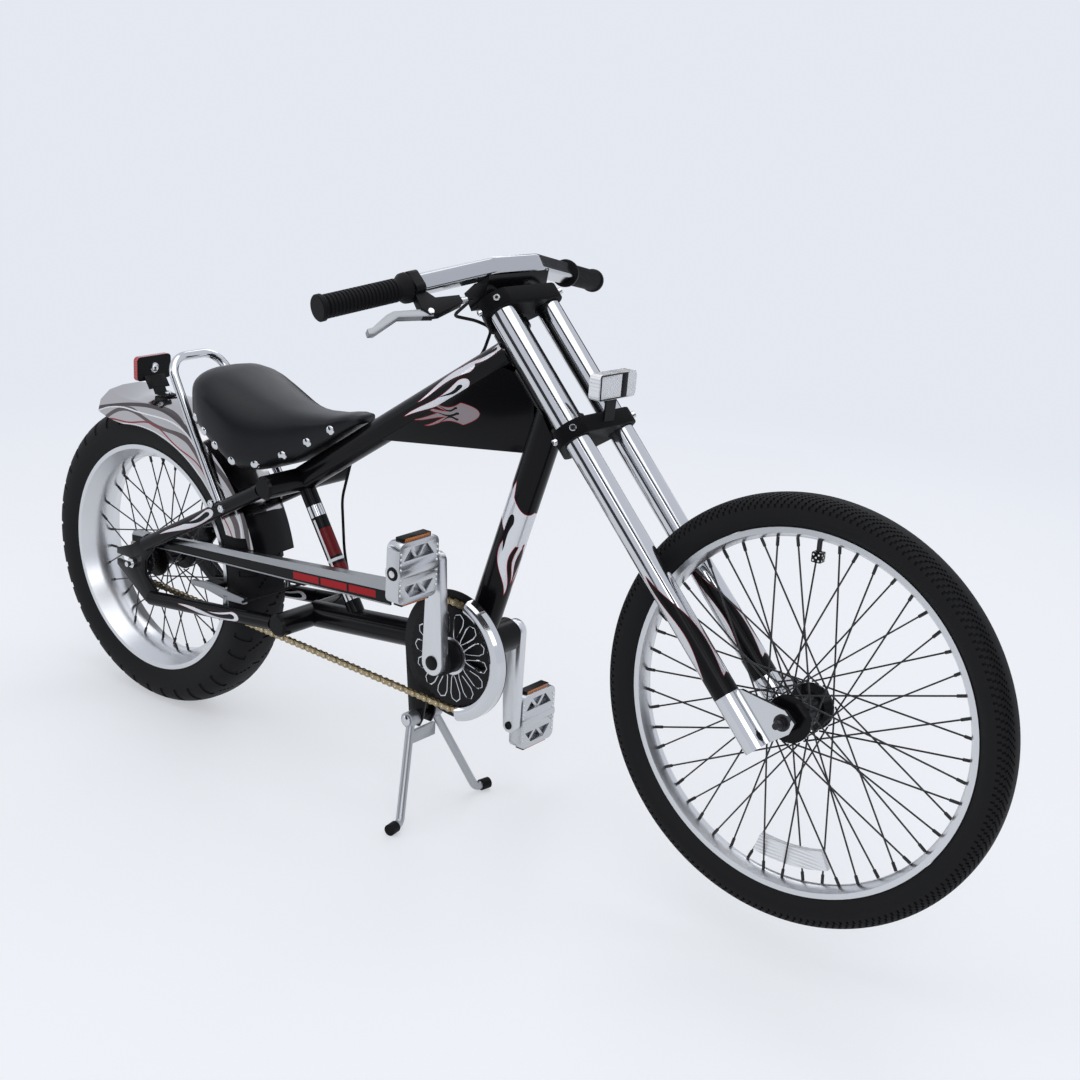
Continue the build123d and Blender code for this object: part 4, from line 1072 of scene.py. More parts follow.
@dataclass
class FrameSet:
    """The painted tubes, yokes, dropouts and rear brake."""

    plain: tuple[str, ...] = ("head_tube", "bottom_tube", "bb_shell", "upper_yoke", "lower_yoke")
    bolts: tuple[tuple[float, float], ...] = ((226, 166), (252, 163))
    bolt_y: float = 92.0
    bolt_h: float = 5.0
    pad_edge: float = 66.8

    def build(self) -> None:
        """Dresses every piece of the frame."""
        for node in self.plain:
            skin(node, GLOSS_BLACK)
        skin("top_tube", TOP_PAINT)
        skin("down_tube", DOWN_PAINT)
        skin("seat_strut", STRUT_PAINT)
        skin("tank_panel", PANEL_PAINT, bevel=3.0)
        for side in Side:
            skin(f"dropout_{side.label}", GLOSS_BLACK, bevel=0.8)
            skin(f"seat_stay_{side.label}", SEAT_STAY_PAINT)
            skin(f"chain_stay_{side.label}", CHAIN_STAY_PAINT)
        pads = Accent(SOFT_RUBBER, lambda middle, normal: abs(middle.y) < self.pad_edge * MM)
        skin("brake_arms", DULL_ALLOY, (pads,), bevel=1.0)
        skin("rear_axle", CHROME)
        self._bolts()

    def _bolts(self) -> None:
        """Domed bolts through the stays."""
        shape = Shape()
        for side in Side:
            places = [frame_at(spot(x, z, side.value * self.bolt_y), side.out) for x, z in self.bolts]
            shape.hexagon(CHROME, places, radius=7.0, height=self.bolt_h)
            shape.dome(CHROME, raised(places, self.bolt_h), radius=4.0, height=2.0)
        shape.publish("stay_bolts", "frame")


@dataclass
class Tail:
    """The chromed fender, the sissy bar and the red reflector."""

    front_half: float = 47.0
    front_top: float = 142.0
    lens_foot: float = 321.0
    lens_front: float = 0.6
    nut: Profile = ((0, 0), (0, 9), (1.5, 9), (2, 6.5), (4.5, 6.5), (7, 3.5), (7.6, 0))

    def _in_front(self, middle: Vector, normal: Vector) -> bool:
        """Whether a face lies on the fender's black front end."""
        ahead = middle.x > REAR_AXLE.x and middle.z < spot(0, self.front_top).z
        return ahead and abs(middle.y) < self.front_half * MM

    def _on_lens(self, middle: Vector, normal: Vector) -> bool:
        """Whether a face lies on the reflector's lens, above its neck."""
        return middle.z > spot(0, self.lens_foot).z and normal.x < self.lens_front

    def build(self) -> None:
        """Dresses the tail's pieces, and adds the reflector's nut, pin and bracket."""
        # the fender's chrome carries painted reflections and painted highlights
        skin("rear_fender", FENDER_CHROME_WITH_PAINTED_REFLECTIONS, (Accent(GLOSS_BLACK, self._in_front),))
        skin("sissy_bar", CHROME)
        skin("rear_reflector", SATIN_BLACK, (Accent(RED_LENS, self._on_lens),))
        shape = Shape()
        shape.lathe(CHROME, [frame_at(spot(-36, 344), AHEAD)], self.nut)
        shape.rod(CHROME, [frame_at(spot(2, 302), UP)], radius=6.0, length=5.0)
        bracket = frame_at(spot(-29, 320), Vector((0.82, 0, 0.57)), LEFT)
        shape.block(SATIN_BLACK, [bracket], size=(46, 26, 2.4), bevel=0.8)
        shape.publish("reflector_bracket", "frame")


@dataclass
class Saddle:
    """A crowned leather saddle with a row of rivets along each side."""

    # ahead of the rear axle, half width, top and bottom above the axle
    sections: tuple[tuple[float, ...], ...] = (
        (147, 34, 362, 330), (151, 58, 375, 316), (160, 78, 383, 305), (176, 91, 386, 296),
        (196, 98, 384, 284), (215, 100, 380, 270), (239, 100, 372, 254), (262, 99, 364, 240),
        (284, 95, 357, 233), (310, 86, 350, 236), (335, 76, 346, 244), (362, 63, 345, 258),
        (390, 52, 346, 275), (416, 46, 349, 292), (440, 41, 352, 308), (460, 37, 357, 322),
        (476, 32, 360, 333), (490, 26, 360, 343), (497, 17, 357, 347),
    )
    # ahead of the rear axle and above it
    rivets: Profile = (
        (186, 309), (212, 291), (240, 272), (276, 252), (318, 252), (364, 274), (408, 303), (452, 331),
    )
    ring: int = 40
    crown_power: float = 0.72
    skirt_power: float = 0.4
    crown_drop: float = 0.06
    rivet_lean: float = 0.35

    def _power(self, rise: float) -> float:
        """How square the outline is above or below its middle."""
        return self.crown_power if rise > 0 else self.skirt_power

    def _ring_point(self, section: Sequence[float], turn: float) -> Vector:
        """Point of a section's rounded outline at an angle.

        Args:
            section: a row of the sections' table.
            turn: the angle, in radians.

        Returns:
            The point in metres.
        """
        ahead, half, top, bottom = section
        power = self._power(sin(turn))
        across = copysign(abs(cos(turn)) ** power, cos(turn))
        rise = copysign(abs(sin(turn)) ** power, sin(turn))
        crown = 1.0 - self.crown_drop * across * across if rise > 0 else 1.0
        return spot(ahead, (top + bottom) / 2 + rise * crown * (top - bottom) / 2, across * half)

    def _side_point(self, ahead: float, above: float, sign: int) -> tuple[Vector, Vector]:
        """Point on the saddle's side and the direction out of it.

        Args:
            ahead: distance ahead of the rear axle.
            above: height above it.
            sign: the side.

        Returns:
            The point in metres and the direction.
        """
        after = next(index for index, section in enumerate(self.sections) if section[0] >= ahead)
        first, second = self.sections[after - 1], self.sections[after]
        share = (ahead - first[0]) / (second[0] - first[0])
        section = [start + (end - start) * share for start, end in zip(first, second)]
        rise = (above - (section[2] + section[3]) / 2) / ((section[2] - section[3]) / 2)
        height = copysign(abs(rise) ** (1 / self._power(rise)), rise)
        point = self._ring_point(section, atan2(height, sqrt(max(0.0, 1 - height * height))))
        point.y = sign * abs(point.y)
        lean = (second[1] - first[1]) / (second[0] - first[0])
        return point, Vector((-lean, sign, self.rivet_lean * rise)).normalized()

    def build(self) -> None:
        """Builds the padded form and its rivets."""
        part = bmesh.new()
        rings = []
        for section in self.sections:
            ring = bmesh.ops.create_circle(part, radius=1.0, segments=self.ring)["verts"]
            for vert in ring:
                vert.co = self._ring_point(section, atan2(vert.co.y, vert.co.x))
            rings.append(ring)
        Shape.bridge(part, rings)
        shape = Shape()
        shape.add(part, LEATHER)
        shape.publish("saddle_leather", "frame", ("saddle",), 70.0)
        studs = Shape()
        for side in Side:
            places = [frame_at(*self._side_point(*rivet, side.value)) for rivet in self.rivets]
            studs.dome(CHROME, places, radius=8.0, height=3.6)
        studs.publish("saddle_rivets", "frame")


@dataclass
class Wheel:
    """A wheel: tyre with grooves, rim with a valve, hub and spokes with nipples."""

    name: str
    centre: Vector
    axle_way: Vector
    up_way: Vector
    half: float
    radius: float
    rim_half: float
    rim_r: float
    flange_y: float
    flange_r: float
    spokes: int
    tread: Tread
    steps: int
    crown_share: float = 0.54
    crown_power: float = 0.82
    groove_depth: float = 2.2
    spoke_lean: float = 62.0
    dice_half: float = 7.5

    @property
    def body(self) -> str:
        """The wheel's body."""
        return f"{self.name}_wheel"

    @property
    def bed_r(self) -> float:
        """Radius of the rim's inner face."""
        return self.rim_r - 8.0 - 0.42 * self.rim_half

    def _ray(self, turn: float) -> Vector:
        """Direction out from the axle at an angle in radians from straight ahead."""
        return self.axle_way.cross(self.up_way) * cos(turn) + self.up_way * sin(turn)

    def build(self) -> None:
        """Builds the wheel's pieces."""
        self._tyre()
        skin(f"{self.name}_rim", ALLOY)
        skin(f"{self.name}_hub", GLOSS_BLACK)
        skin(f"{self.name}_spokes", DARK_STEEL)
        self._nipples()

    def _profile(self) -> list[tuple[float, float]]:
        """The tyre's outline, from one bead over the crown to the other and back inside.

        Returns:
            Pairs of distance along the axle and radius.
        """
        crown = self.crown_share * (self.radius - self.rim_r)
        belly = self.radius - crown
        bead = self.rim_half - 1.5
        foot = self.rim_r + 0.6
        right = [(bead, foot)]
        for step in range(1, 6):
            share = step / 5
            out = (self.half - bead) * sin(share * pi / 2)
            right.append((bead + out, foot + (belly - self.rim_r) * share))
        for step in range(1, 15):
            turn = step / 14 * pi / 2
            across = self.half * cos(turn) ** self.crown_power
            right.append((across, belly + crown * sin(turn) ** self.crown_power))
        right[-1] = (0.0, self.radius)
        left = [(-along, radius) for along, radius in right[-2::-1]]
        inside = [(-bead + 6, self.rim_r + 1.2), (bead - 6, self.rim_r + 1.2)]
        return right + left + inside

    def _grooved(self, middle: Vector) -> bool:
        """Whether a face of the tread lies in a groove.

        Args:
            middle: the face's middle.

        Returns:
            True for a groove.
        """
        away = abs(middle.z) / MM / self.half
        turn = int(round(atan2(middle.y, middle.x) / (2 * pi) * self.steps - 0.5))
        outer = hypot(middle.x, middle.y) > (self.radius + self.rim_r) / 2 * MM
        slant = int(away * 10)
        if self.tread is Tread.SIPES:
            return outer and 0.3 < away < 0.98 and (turn + slant) % 3 == 0
        shoulder = outer and 0.62 < away < 0.99 and (turn + (2 if middle.z > 0 else 0)) % 8 < 2
        centre = away < 0.56 and (turn + slant * (1 if middle.z > 0 else -1)) % 12 == 0
        return shoulder or centre

    def _tyre(self) -> None:
        """Turns the tyre and sinks its grooves."""
        part = Shape.spun(self._profile(), self.steps, closed=True)
        grooves = [face for face in part.faces if self._grooved(face.calc_center_median())]
        sunk = {"thickness": 0.5 * MM, "depth": -self.groove_depth * MM}
        bmesh.ops.inset_region(part, faces=grooves, use_even_offset=True, use_boundary=True, **sunk)
        shape = Shape()
        shape.add(part, TYRE_RUBBER, [frame_at(self.centre, self.axle_way, self.up_way)])
        shape.publish(f"{self.name}_tyre_rubber", self.body, (f"{self.name}_tyre",))

    def _nipples(self) -> None:
        """A nipple at the rim's end of each spoke."""
        places = []
        for number in range(self.spokes):
            sign = -1 if number % 4 < 2 else 1
            lead = -1 if number % 2 == 0 else 1
            angle = 2 * pi * number / self.spokes
            hub_way = self._ray(angle + lead * radians(self.spoke_lean))
            flange = self.axle_way * sign * (self.flange_y + lead * 2.2)
            start = hub_way * (self.flange_r + 1.6) + flange
            end = self._ray(angle) * (self.bed_r - 0.5) + self.axle_way * sign * 0.2 * self.rim_half
            places.append(frame_at(self.centre + end * MM, start - end))
        shape = Shape()
        shape.rod(DARK_STEEL, places, radius=2.4, length=13.0, steps=8)
        shape.publish(f"{self.name}_nipples", self.body)

    def reflector(self, turn: float, low: float, high: float, half: float, thick: float = 10.0) -> None:
        """Adds a clear reflector that is clipped between the spokes.

        Args:
            turn: angle of its middle from straight ahead, in degrees.
            low: radius of its inner edge, in millimetres.
            high: radius of its outer edge.
            half: half of the angle that it covers, in degrees.
            thick: its thickness, in millimetres.
        """
        turns = [radians(-half + 2 * half * step / 8) for step in range(9)]
        outline = [(high * cos(angle), high * sin(angle)) for angle in turns]
        outline += [(low * cos(angle * 0.94), low * sin(angle * 0.94)) for angle in reversed(turns)]
        back = self.centre - self.axle_way * thick / 2 * MM
        shape = Shape()
        shape.plate(CLEAR_LENS, [frame_at(back, self.axle_way, self._ray(radians(turn)))], outline, thick)
        shape.publish(f"{self.name}_spoke_reflector", self.body)

    def valve(self, turn: float) -> None:
        """Adds a valve with a dice cap, at an angle in degrees from straight ahead.

        Args:
            turn: the angle.
        """
        ray = self._ray(radians(turn))
        shape = Shape()
        stem = frame_at(self.centre + ray * (self.bed_r + 1) * MM, -ray)
        shape.rod(DARK_STEEL, [stem], radius=3.6, length=18.0, steps=12)
        dice = frame_at(self.centre + ray * (self.bed_r - 24) * MM, -ray, self.axle_way)
        shape.block(GLOSS_BLACK, [dice], size=(2 * self.dice_half,) * 3, bevel=2.0)
        turns = [("Y", quarter) for quarter in (0, 1, 2, -1)] + [("X", 1), ("X", -1)]
        tops = [dice @ Matrix.Rotation(quarter * pi / 2, 4, axis) for axis, quarter in turns]
        pips = [(x * MM, y * MM, 0) for x, y in ((-4, -4), (4, -4), (-4, 4), (4, 4), (0, 0))]
        places = [top @ Matrix.Translation(pip) for top in tops for pip in pips]
        shape.dome(WHITE_PAINT, raised(places, self.dice_half - 0.2), radius=1.5, height=0.6)
        shape.publish(f"{self.name}_valve", self.body)


@dataclass
class ChainLoop:
    """The chain's pitch line round the ring and the sprocket, in millimetres from the rear axle."""

    ahead: float
    above: float
    pitch: float = 12.7
    ring_teeth: int = 44
    sprocket_teeth: int = 18

    def __post_init__(self) -> None:
        """Works out the radii, the straight runs and the number of links."""
        self.ring_r = self.pitch / 2 / sin(pi / self.ring_teeth)
        self.sprocket_r = self.pitch / 2 / sin(pi / self.sprocket_teeth)
        gap = self.ring_r - self.sprocket_r
        self.line = sqrt(self.ahead**2 + self.above**2 - gap**2)
        self.lean = atan2(self.above, self.ahead)
        self.wrap = atan2(gap, self.line)
        self.ring_arc = self.ring_r * (pi + 2 * self.wrap)
        self.length = 2 * self.line + self.ring_arc + self.sprocket_r * (pi - 2 * self.wrap)
        self.links = 2 * round(self.length / self.pitch / 2)

    def point(self, along: float) -> tuple[float, float]:
        """Place at a distance along the loop, from the sprocket's top.

        Args:
            along: the distance.

        Returns:
            Distances ahead of the rear axle and above it.
        """
        along %= self.length
        up = self.lean + pi / 2 + self.wrap
        down = self.lean - pi / 2 - self.wrap
        back, way, ahead = self.sprocket_r, up, along
        x, z = 0.0, 0.0
        if along > self.line:
            x, z, back = self.ahead, self.above, self.ring_r
            way, ahead = up - (along - self.line) / self.ring_r, 0.0
        if along > self.line + self.ring_arc:
            way, ahead = down, along - self.line - self.ring_arc
        if along > 2 * self.line + self.ring_arc:
            x, z, back = 0.0, 0.0, self.sprocket_r
            way, ahead = down - (along - 2 * self.line - self.ring_arc) / self.sprocket_r, 0.0
        return (x + back * cos(way) + ahead * sin(way), z + back * sin(way) - ahead * cos(way))


@dataclass
class Drive:
    """Chain, chainring, guards, cranks and pedals."""

    chain_y: float = -59.0
    plate_r: float = 5.0
    plate_waist: float = 3.4
    # heights of the outer and the inner plates beside the pitch line
    plate_levels: tuple[tuple[float, float], ...] = ((2.9, -3.9), (1.8, -2.8))
    # radius and length of a roller and of a pin
    roller: tuple[float, float] = (3.9, 3.4)
    pin: tuple[float, float] = (1.7, 8.0)
    slots: int = 14
    disc_r: float = 80.6
    # share of the disc's radius, and distance to the side of a slot's middle line
    petal: Profile = (
        (0.36, 0), (0.45, 4), (0.74, 9.4), (0.86, 8), (0.92, 0), (0.86, -8), (0.74, -9.4), (0.45, -4),
    )
    collar: Profile = ((0, 25.5), (0, 31), (1.6, 30.4), (1.6, 26), (0, 25.5))
    arm_y: float = 97.0
    arm_cap: Profile = ((0, 0), (0, 12), (2.4, 11), (3.2, 8), (3.4, 0))
    eye_cap: Profile = ((0, 0), (0, 7), (1.6, 6.4), (1.6, 3), (0.8, 2.6), (0.8, 0))
    pedal_y: float = 152.0
    pedal_cap_y: float = 194.6
    pedal_cap: Profile = ((0, 0), (0, 11), (1.6, 10), (2.2, 6), (2.4, 0))
    tooth: Profile = ((0, 0), (0, 2.6), (1.8, 1.4), (1.8, 0))
    cage_end: float = 48.1
    guard_edge: tuple[tuple[float, ...], ...] = ((-23, 31.5, -66), (130, 45, -66.4), (639, 93, -84.5))

    def build(self) -> None:
        """Builds the drive's pieces."""
        self._chain()
        self._ring()
        self._guards()
        for side in Side:
            self._crank(side)
        for side in Side:
            self._pedal(side)

    def _plate_outline(self, pitch: float) -> list[tuple[float, float]]:
        """The figure-of-eight outline of a chain plate.

        Args:
            pitch: distance between its pins.

        Returns:
            The outline's corners.
        """
        ends = []
        for sign in (1, -1):
            ends.extend(
                (sign * (pitch / 2 + self.plate_r * cos(turn)), sign * self.plate_r * sin(turn))
                for turn in (radians(degree) for degree in range(-110, 111, 20))
            )
            ends.append((0.0, sign * self.plate_waist))
        return ends

    def _chain(self) -> None:
        """Links with inner and outer plates in turn, rollers and pins."""
        centre = (CRANK_CENTRE - REAR_AXLE) / MM
        loop = ChainLoop(centre.x, centre.z)
        step = loop.length / loop.links
        pins = [spot(*loop.point(step * number), self.chain_y) for number in range(loop.links)]
        pairs = zip(pins, pins[1:] + pins[:1])
        middles = [frame_at((pin + after) / 2, -LEFT, after - pin) for pin, after in pairs]
        outline = self._plate_outline(step)
        shape = Shape()
        for parity, levels in enumerate(self.plate_levels):
            for level in levels:
                shape.plate(CHAIN_STEEL, raised(middles[parity::2], level), outline, thick=1.0)
        for (radius, length), sides in ((self.roller, 12), (self.pin, 8)):
            places = [frame_at(pin + LEFT * length / 2 * MM, -LEFT) for pin in pins]
            shape.rod(ALLOY, places, radius, length, sides)
        shape.publish("chain_links", NODES["chain"]["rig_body"], ("chain",))

    def _ring(self) -> None:
        """The chainring with a bright line round each slot, and its collar."""
        shape = Shape()
        shape.node("chainring", SATIN_BLACK, (Accent(ALLOY, self._in_slot),))
        face_y = self.chain_y - 1.5
        for number in range(self.slots):
            turn = 2 * pi * number / self.slots
            points = []
            for share, side in self.petal:
                along = share * self.disc_r
                ahead = along * cos(turn) - side * sin(turn)
                above = along * sin(turn) + side * cos(turn)
                points.append(CRANK_CENTRE + Vector((ahead, face_y, above)) * MM)
            shape.tube(CHROME, points, radius=1.1, sides=6, closed=True)
        edge = frame_at(CRANK_CENTRE + LEFT * (face_y + 0.4) * MM, -LEFT)
        shape.lathe(ALLOY, [edge], self.collar, 48)
        shape.publish("chainring_bright", "crank", ("chainring",))

    def _in_slot(self, middle: Vector, normal: Vector) -> bool:
        """Whether a face is the wall of a slot."""
        away = (middle - CRANK_CENTRE) / MM
        return abs(normal.y) < 0.5 and 0.36 < hypot(away.x, away.z) / self.disc_r < 0.9

    def _guards(self) -> None:
        """The two-tone chain guard, the crescent, the backing plate and the sprocket."""
        face = Accent(GUARD_PAINT, lambda middle, normal: abs(normal.y) > 0.95)
        skin("chain_guard", DULL_ALLOY, (face,))
        skin("crescent_guard", CHROME)
        skin("backing_plate", SATIN_BLACK, bevel=0.6)
        skin("rear_sprocket", DARK_STEEL)
        shape = Shape()
        shape.dome(CHROME, [frame_at(spot(60, 49, -70.5), -LEFT)], radius=4.5, height=2.5)
        shape.tube(DULL_ALLOY, [spot(*corner) for corner in self.guard_edge], radius=1.5, sides=8)
        shape.publish("guard_trim", "frame")

    def _crank(self, side: Side) -> None:
        """A crank arm with its bolt and its cap.

        Args:
            side: the arm's side.
        """
        name = f"crank_{side.label}"
        shape = Shape()
        shape.node(name, ALLOY, bevel=2.0)
        hub = CRANK_CENTRE + side.out * (self.arm_y + 7.6) * MM
        shape.lathe(GLOSS_BLACK, [frame_at(hub, side.out)], self.arm_cap, 28)
        shape.publish(f"{name}_arm", "crank", (name,))
        cap = side.beside(joint_point(f"pedal_{side.label}_spin"), self.arm_y - 8.2)
        dark = Shape()
        dark.lathe(GLOSS_BLACK, [frame_at(cap, -side.out)], self.eye_cap)
        dark.publish(f"{name}_cap", "crank")

    def _pedal(self, side: Side) -> None:
        """A cast pedal with teeth, reflector bars and an axle cap.

        Args:
            side: the pedal's side.
        """
        name = f"pedal_{side.label}"
        eye = joint_point(f"{name}_spin")
        middle = side.beside(eye, self.pedal_y)
        signs = (-1, 1)

        def faced(left: float, up: float, ahead: float, face: int, x_way: Vector) -> Matrix:
            """Placement on the cage's front or back, from its middle in millimetres."""
            at = middle + (LEFT * left + UP * up + AHEAD * face * ahead) * MM
            return frame_at(at, AHEAD * face, x_way)

        bar = Accent(SATIN_BLACK, lambda point, normal: abs(point.z - eye.z) > self.cage_end * MM)
        shape = Shape()
        shape.node(name, CAST_ALLOY, (bar,), bevel=1.2)
        ends = [faced(0, way * 50.2, 8.0, face, LEFT) for way in signs for face in signs]
        shape.block(AMBER_LENS, ends, size=(54, 4.4, 1.2), bevel=0.4)
        rises = range(-32, 33, 8)
        teeth = [
            faced(sign * 39.5, rise, 12.6, face, UP) for sign in signs for rise in rises for face in signs
        ]
        shape.lathe(CAST_ALLOY, teeth, self.tooth, 6)
        ribs = [
            faced(sign * 9, way * 28, 0, 1, LEFT * sign + UP * way * 1.1) for way in signs for sign in signs
        ]
        shape.block(CAST_ALLOY, ribs, size=(30, 6, 20), bevel=1.4)
        cap = frame_at(side.beside(eye, self.pedal_cap_y), side.out)
        shape.lathe(GLOSS_BLACK, [cap], self.pedal_cap, 24)
        shape.publish(f"{name}_cast", name, (name,))


@dataclass
class Fork:
    """Crowns, flamed legs, cast tips, axle and the clear reflector."""

    leg_cap: Profile = ((0, 0), (0, 18), (2, 18), (3.4, 16), (4, 9), (4, 0))
    washer: Profile = ((0, 5), (0, 12), (1.6, 12), (1.6, 5), (0, 5))
    steerer_cap: Profile = ((0, 0), (0, 14), (2.4, 14), (3.4, 12), (3.4, 0))
    washer_v: float = 54.2
    lens_u: float = FORK_OFFSET + 10
    lens_w: float = LOWER_CROWN_W + 46
    rim_half: tuple[float, float] = (43.0, 17.4)

    def build(self) -> None:
        """Dresses the fork's pieces."""
        for side in Side:
            skin(f"fork_leg_{side.label}", LEG_PAINT)
            skin(f"fork_tip_{side.label}", CHROME)
        for node in ("lower_crown", "upper_crown"):
            skin(node, MATT_BLACK, bevel=1.6)
        skin("front_axle", DARK_STEEL)
        self._bolts()
        self._reflector()

    def _bolts(self) -> None:
        """Pinch bolts on the crowns, caps on the legs and washers at the axle."""
        shape = Shape()
        top_w = UPPER_CROWN_W + CROWN_H
        for side in Side:
            out = FORK_V * side.value
            for level in (LOWER_CROWN_W, UPPER_CROWN_W):
                places = []
                for turn in (-1, 1):
                    at = fork_spot(LEG_U + turn * 17, side.value * (LEG_V + 20), level + CROWN_H / 2)
                    places.append(frame_at(at, out + FORK_U * turn * 0.9))
                shape.rod(CHROME, places, radius=5.0, length=6.5)
                shape.rod(SATIN_BLACK, raised(places, 6.3), radius=2.6, length=0.5, steps=6)
            top = frame_at(fork_spot(LEG_U, side.value * LEG_V, top_w - 1), STEER_UP)
            shape.lathe(CHROME, [top], self.leg_cap, 32)
            axle = frame_at(fork_spot(FORK_OFFSET, side.value * self.washer_v, 0), out)
            shape.lathe(DARK_STEEL, [axle], self.washer, 28)
            shape.dome(DARK_STEEL, raised([axle], 9.0), radius=7.0, height=6.0)
        shape.lathe(CHROME, [frame_at(fork_spot(0, 0, top_w), STEER_UP)], self.steerer_cap, 28)
        shape.publish("fork_bolts", "front_end")

    def _reflector(self) -> None:
        """The clear lens in its thin black housing, split by a dark bar."""
        centre = fork_spot(self.lens_u, 0, self.lens_w)
        foot = centre.z - 20 * MM
        lens = Accent(CLEAR_LENS, lambda middle, normal: middle.z > foot and normal.x > -0.4)
        shape = Shape()
        shape.node("front_reflector", SATIN_BLACK, (lens,))
        front = centre + AHEAD * 9.0 * MM
        bar = frame_at(front + FORK_V * 16 * MM, AHEAD, FORK_V)
        shape.block(SATIN_BLACK, [bar], size=(15, 35, 1.6), bevel=0.4)
        y, z = self.rim_half
        rim = ((y, z), (-y, z), (-y, -z), (y, -z))
        corners = [front + (FORK_V * across + UP * above) * MM for across, above in rim]
        shape.tube(SATIN_BLACK, corners, radius=1.1, sides=8, closed=True)
        shape.publish("front_reflector_lens", "front_end", ("front_reflector",))


@dataclass
class Cockpit:
    """Riser, squared bar, ribbed grips, brake lever and the brake's cable."""

    bar_u: float = 57.0
    bar_w: float = 767.0
    rise: float = 9.6
    half: float = 325.0
    bend: float = 52.0
    sweep: float = 90.0
    grip_share: float = 0.494
    rib_pitch: float = 6.0
    adjuster: Profile = ((0, 0), (0, 5), (7, 5), (8, 4), (14, 4), (14, 0))
    cable_r: float = 2.5
    cable_curve: float = 16.0

    def __post_init__(self) -> None:
        """Works out the bar's frame and the lever's."""
        climb = radians(self.rise)
        self.bar_ahead = FORK_U * cos(climb) - STEER_UP * sin(climb)
        self.arm = hypot(self.sweep, self.half - self.bend)
        self.grip_length = self.grip_share * self.arm
        self.lever_end = self.on_arm(-1, 0)
        self.lever_way = (self.on_arm(-1, self.arm) - self.lever_end).normalized()
        lean = FORK_U * 0.12 - STEER_UP
        self.lever_drop = (lean - self.lever_way * lean.dot(self.lever_way)).normalized()

    def on_arm(self, sign: int, away: float) -> Vector:
        """Point of a swept arm at a distance from its end, in metres.

        Args:
            sign: the arm's side.
            away: the distance, in millimetres.

        Returns:
            The point.
        """
        share = away / self.arm
        ahead = -self.sweep * (1 - share)
        left = sign * (self.half - (self.half - self.bend) * share)
        return fork_spot(self.bar_u, 0, self.bar_w) + (self.bar_ahead * ahead + FORK_V * left) * MM

    def _on_lever(self, past: float, drop: float) -> Vector:
        """Point past the grip's inner end and below the bar, in millimetres."""
        return self.lever_end + (self.lever_way * (self.grip_length + past) + self.lever_drop * drop) * MM

    def build(self) -> None:
        """Builds the cockpit's pieces."""
        skin("riser", GLOSS_BLACK, bevel=2.0)
        skin("handlebar", POLISHED_BAR)
        self._grips()
        self._lever()
        self._cable()

    def _grips(self) -> None:
        """Ribbed rubber sleeves."""
        end = self.grip_length
        profile = [(-4.0, 0.0), (-4.0, 17.5), (-2.5, 19.0), (3.0, 19.0), (6.0, 16.4)]
        for number in range(int((end - 26) / self.rib_pitch)):
            start = 9 + number * self.rib_pitch
            profile += [(start, 15.2), (start + 1, 16.8), (start + 4, 16.8), (start + 5, 15.2)]
        profile += [(end - 15, 16.2), (end - 8, 21.4), (end - 1.4, 22.0)]
        profile += [(end - 0.3, 20.6), (end - 0.3, 11.4)]
        tips = [(self.on_arm(side.value, 0), self.on_arm(side.value, self.arm)) for side in Side]
        shape = Shape()
        shape.lathe(SOFT_RUBBER, [frame_at(tip, root - tip) for tip, root in tips], profile, 32)
        shape.publish("grip_sleeves", "front_end", ("grips",))

    def _on_blade(self, middle: Vector, normal: Vector) -> bool:
        """Whether a face of the lever lies on its blade, below the grip."""
        return (middle - self.lever_end).dot(self.lever_way) < (self.grip_length - 4) * MM

    def _lever(self) -> None:
        """A black perch with a silver blade, pivot and adjuster."""
        shape = Shape()
        shape.node("brake_lever", SATIN_BLACK, (Accent(DULL_ALLOY, self._on_blade),), bevel=1.0)
        out = self.lever_way.cross(self.lever_drop).normalized()
        pivot = self._on_lever(9, 50)
        for sign in (-1, 1):
            place = frame_at(pivot + out * sign * 6.6 * MM, out * sign)
            shape.rod(CHROME, [place], radius=5.0, length=2.4)
        shape.lathe(ALLOY, [frame_at(self._on_lever(64, 41), self.lever_way)], self.adjuster, 16)
        shape.publish("brake_lever_metal", "front_end", ("brake_lever",))

    def _cable(self) -> None:
        """One cable from the lever to the rear brake, which bends at the steering."""
        stop = self._on_lever(66.2, 41)
        top_run = fork_spot(0, 0, UPPER_CROWN_W - 39.7) - SEAT_JOINT
        beside = LEFT * 25.5 * MM
        head_pass = STEER_FOOT + (STEER_AHEAD * -40 + LEFT * 14 + STEER_UP * (UPPER_CROWN_W + 15)) * MM
        leave = fork_spot(-40, 14, UPPER_CROWN_W + 20)
        near = SEAT_JOINT + top_run * 0.64 + beside
        # down behind the seat strut, out to the left stay and across to the brake arms
        rear = (
            (416, 195, 28.5), (427, 106, 25.5), (434, 38, 35.5), (380, 22, 73.0),
            (325, 2, 89.0), (291, 2, 89.0), (291, 2, -81.0),
        )
        corners = [
            stop,
            stop + self.lever_way * 24 * MM,
            fork_spot(-24, -self.bend - 26, self.bar_w - 25),
            fork_spot(-40, -10, self.bar_w - 29),
            leave.lerp(head_pass, 0.5),
            head_pass + Vector((-30, 14, -44)) * MM,
            near,
            SEAT_JOINT + top_run * 0.2 + beside,
            *(spot(*corner) for corner in rear),
        ]
        shape = Shape()
        shape.tube(SOFT_RUBBER, rounded(corners, self.cable_curve), self.cable_r)
        cable = shape.publish("cable_outer", None, ("lever_cable", "brake_cable"))
        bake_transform(cable)


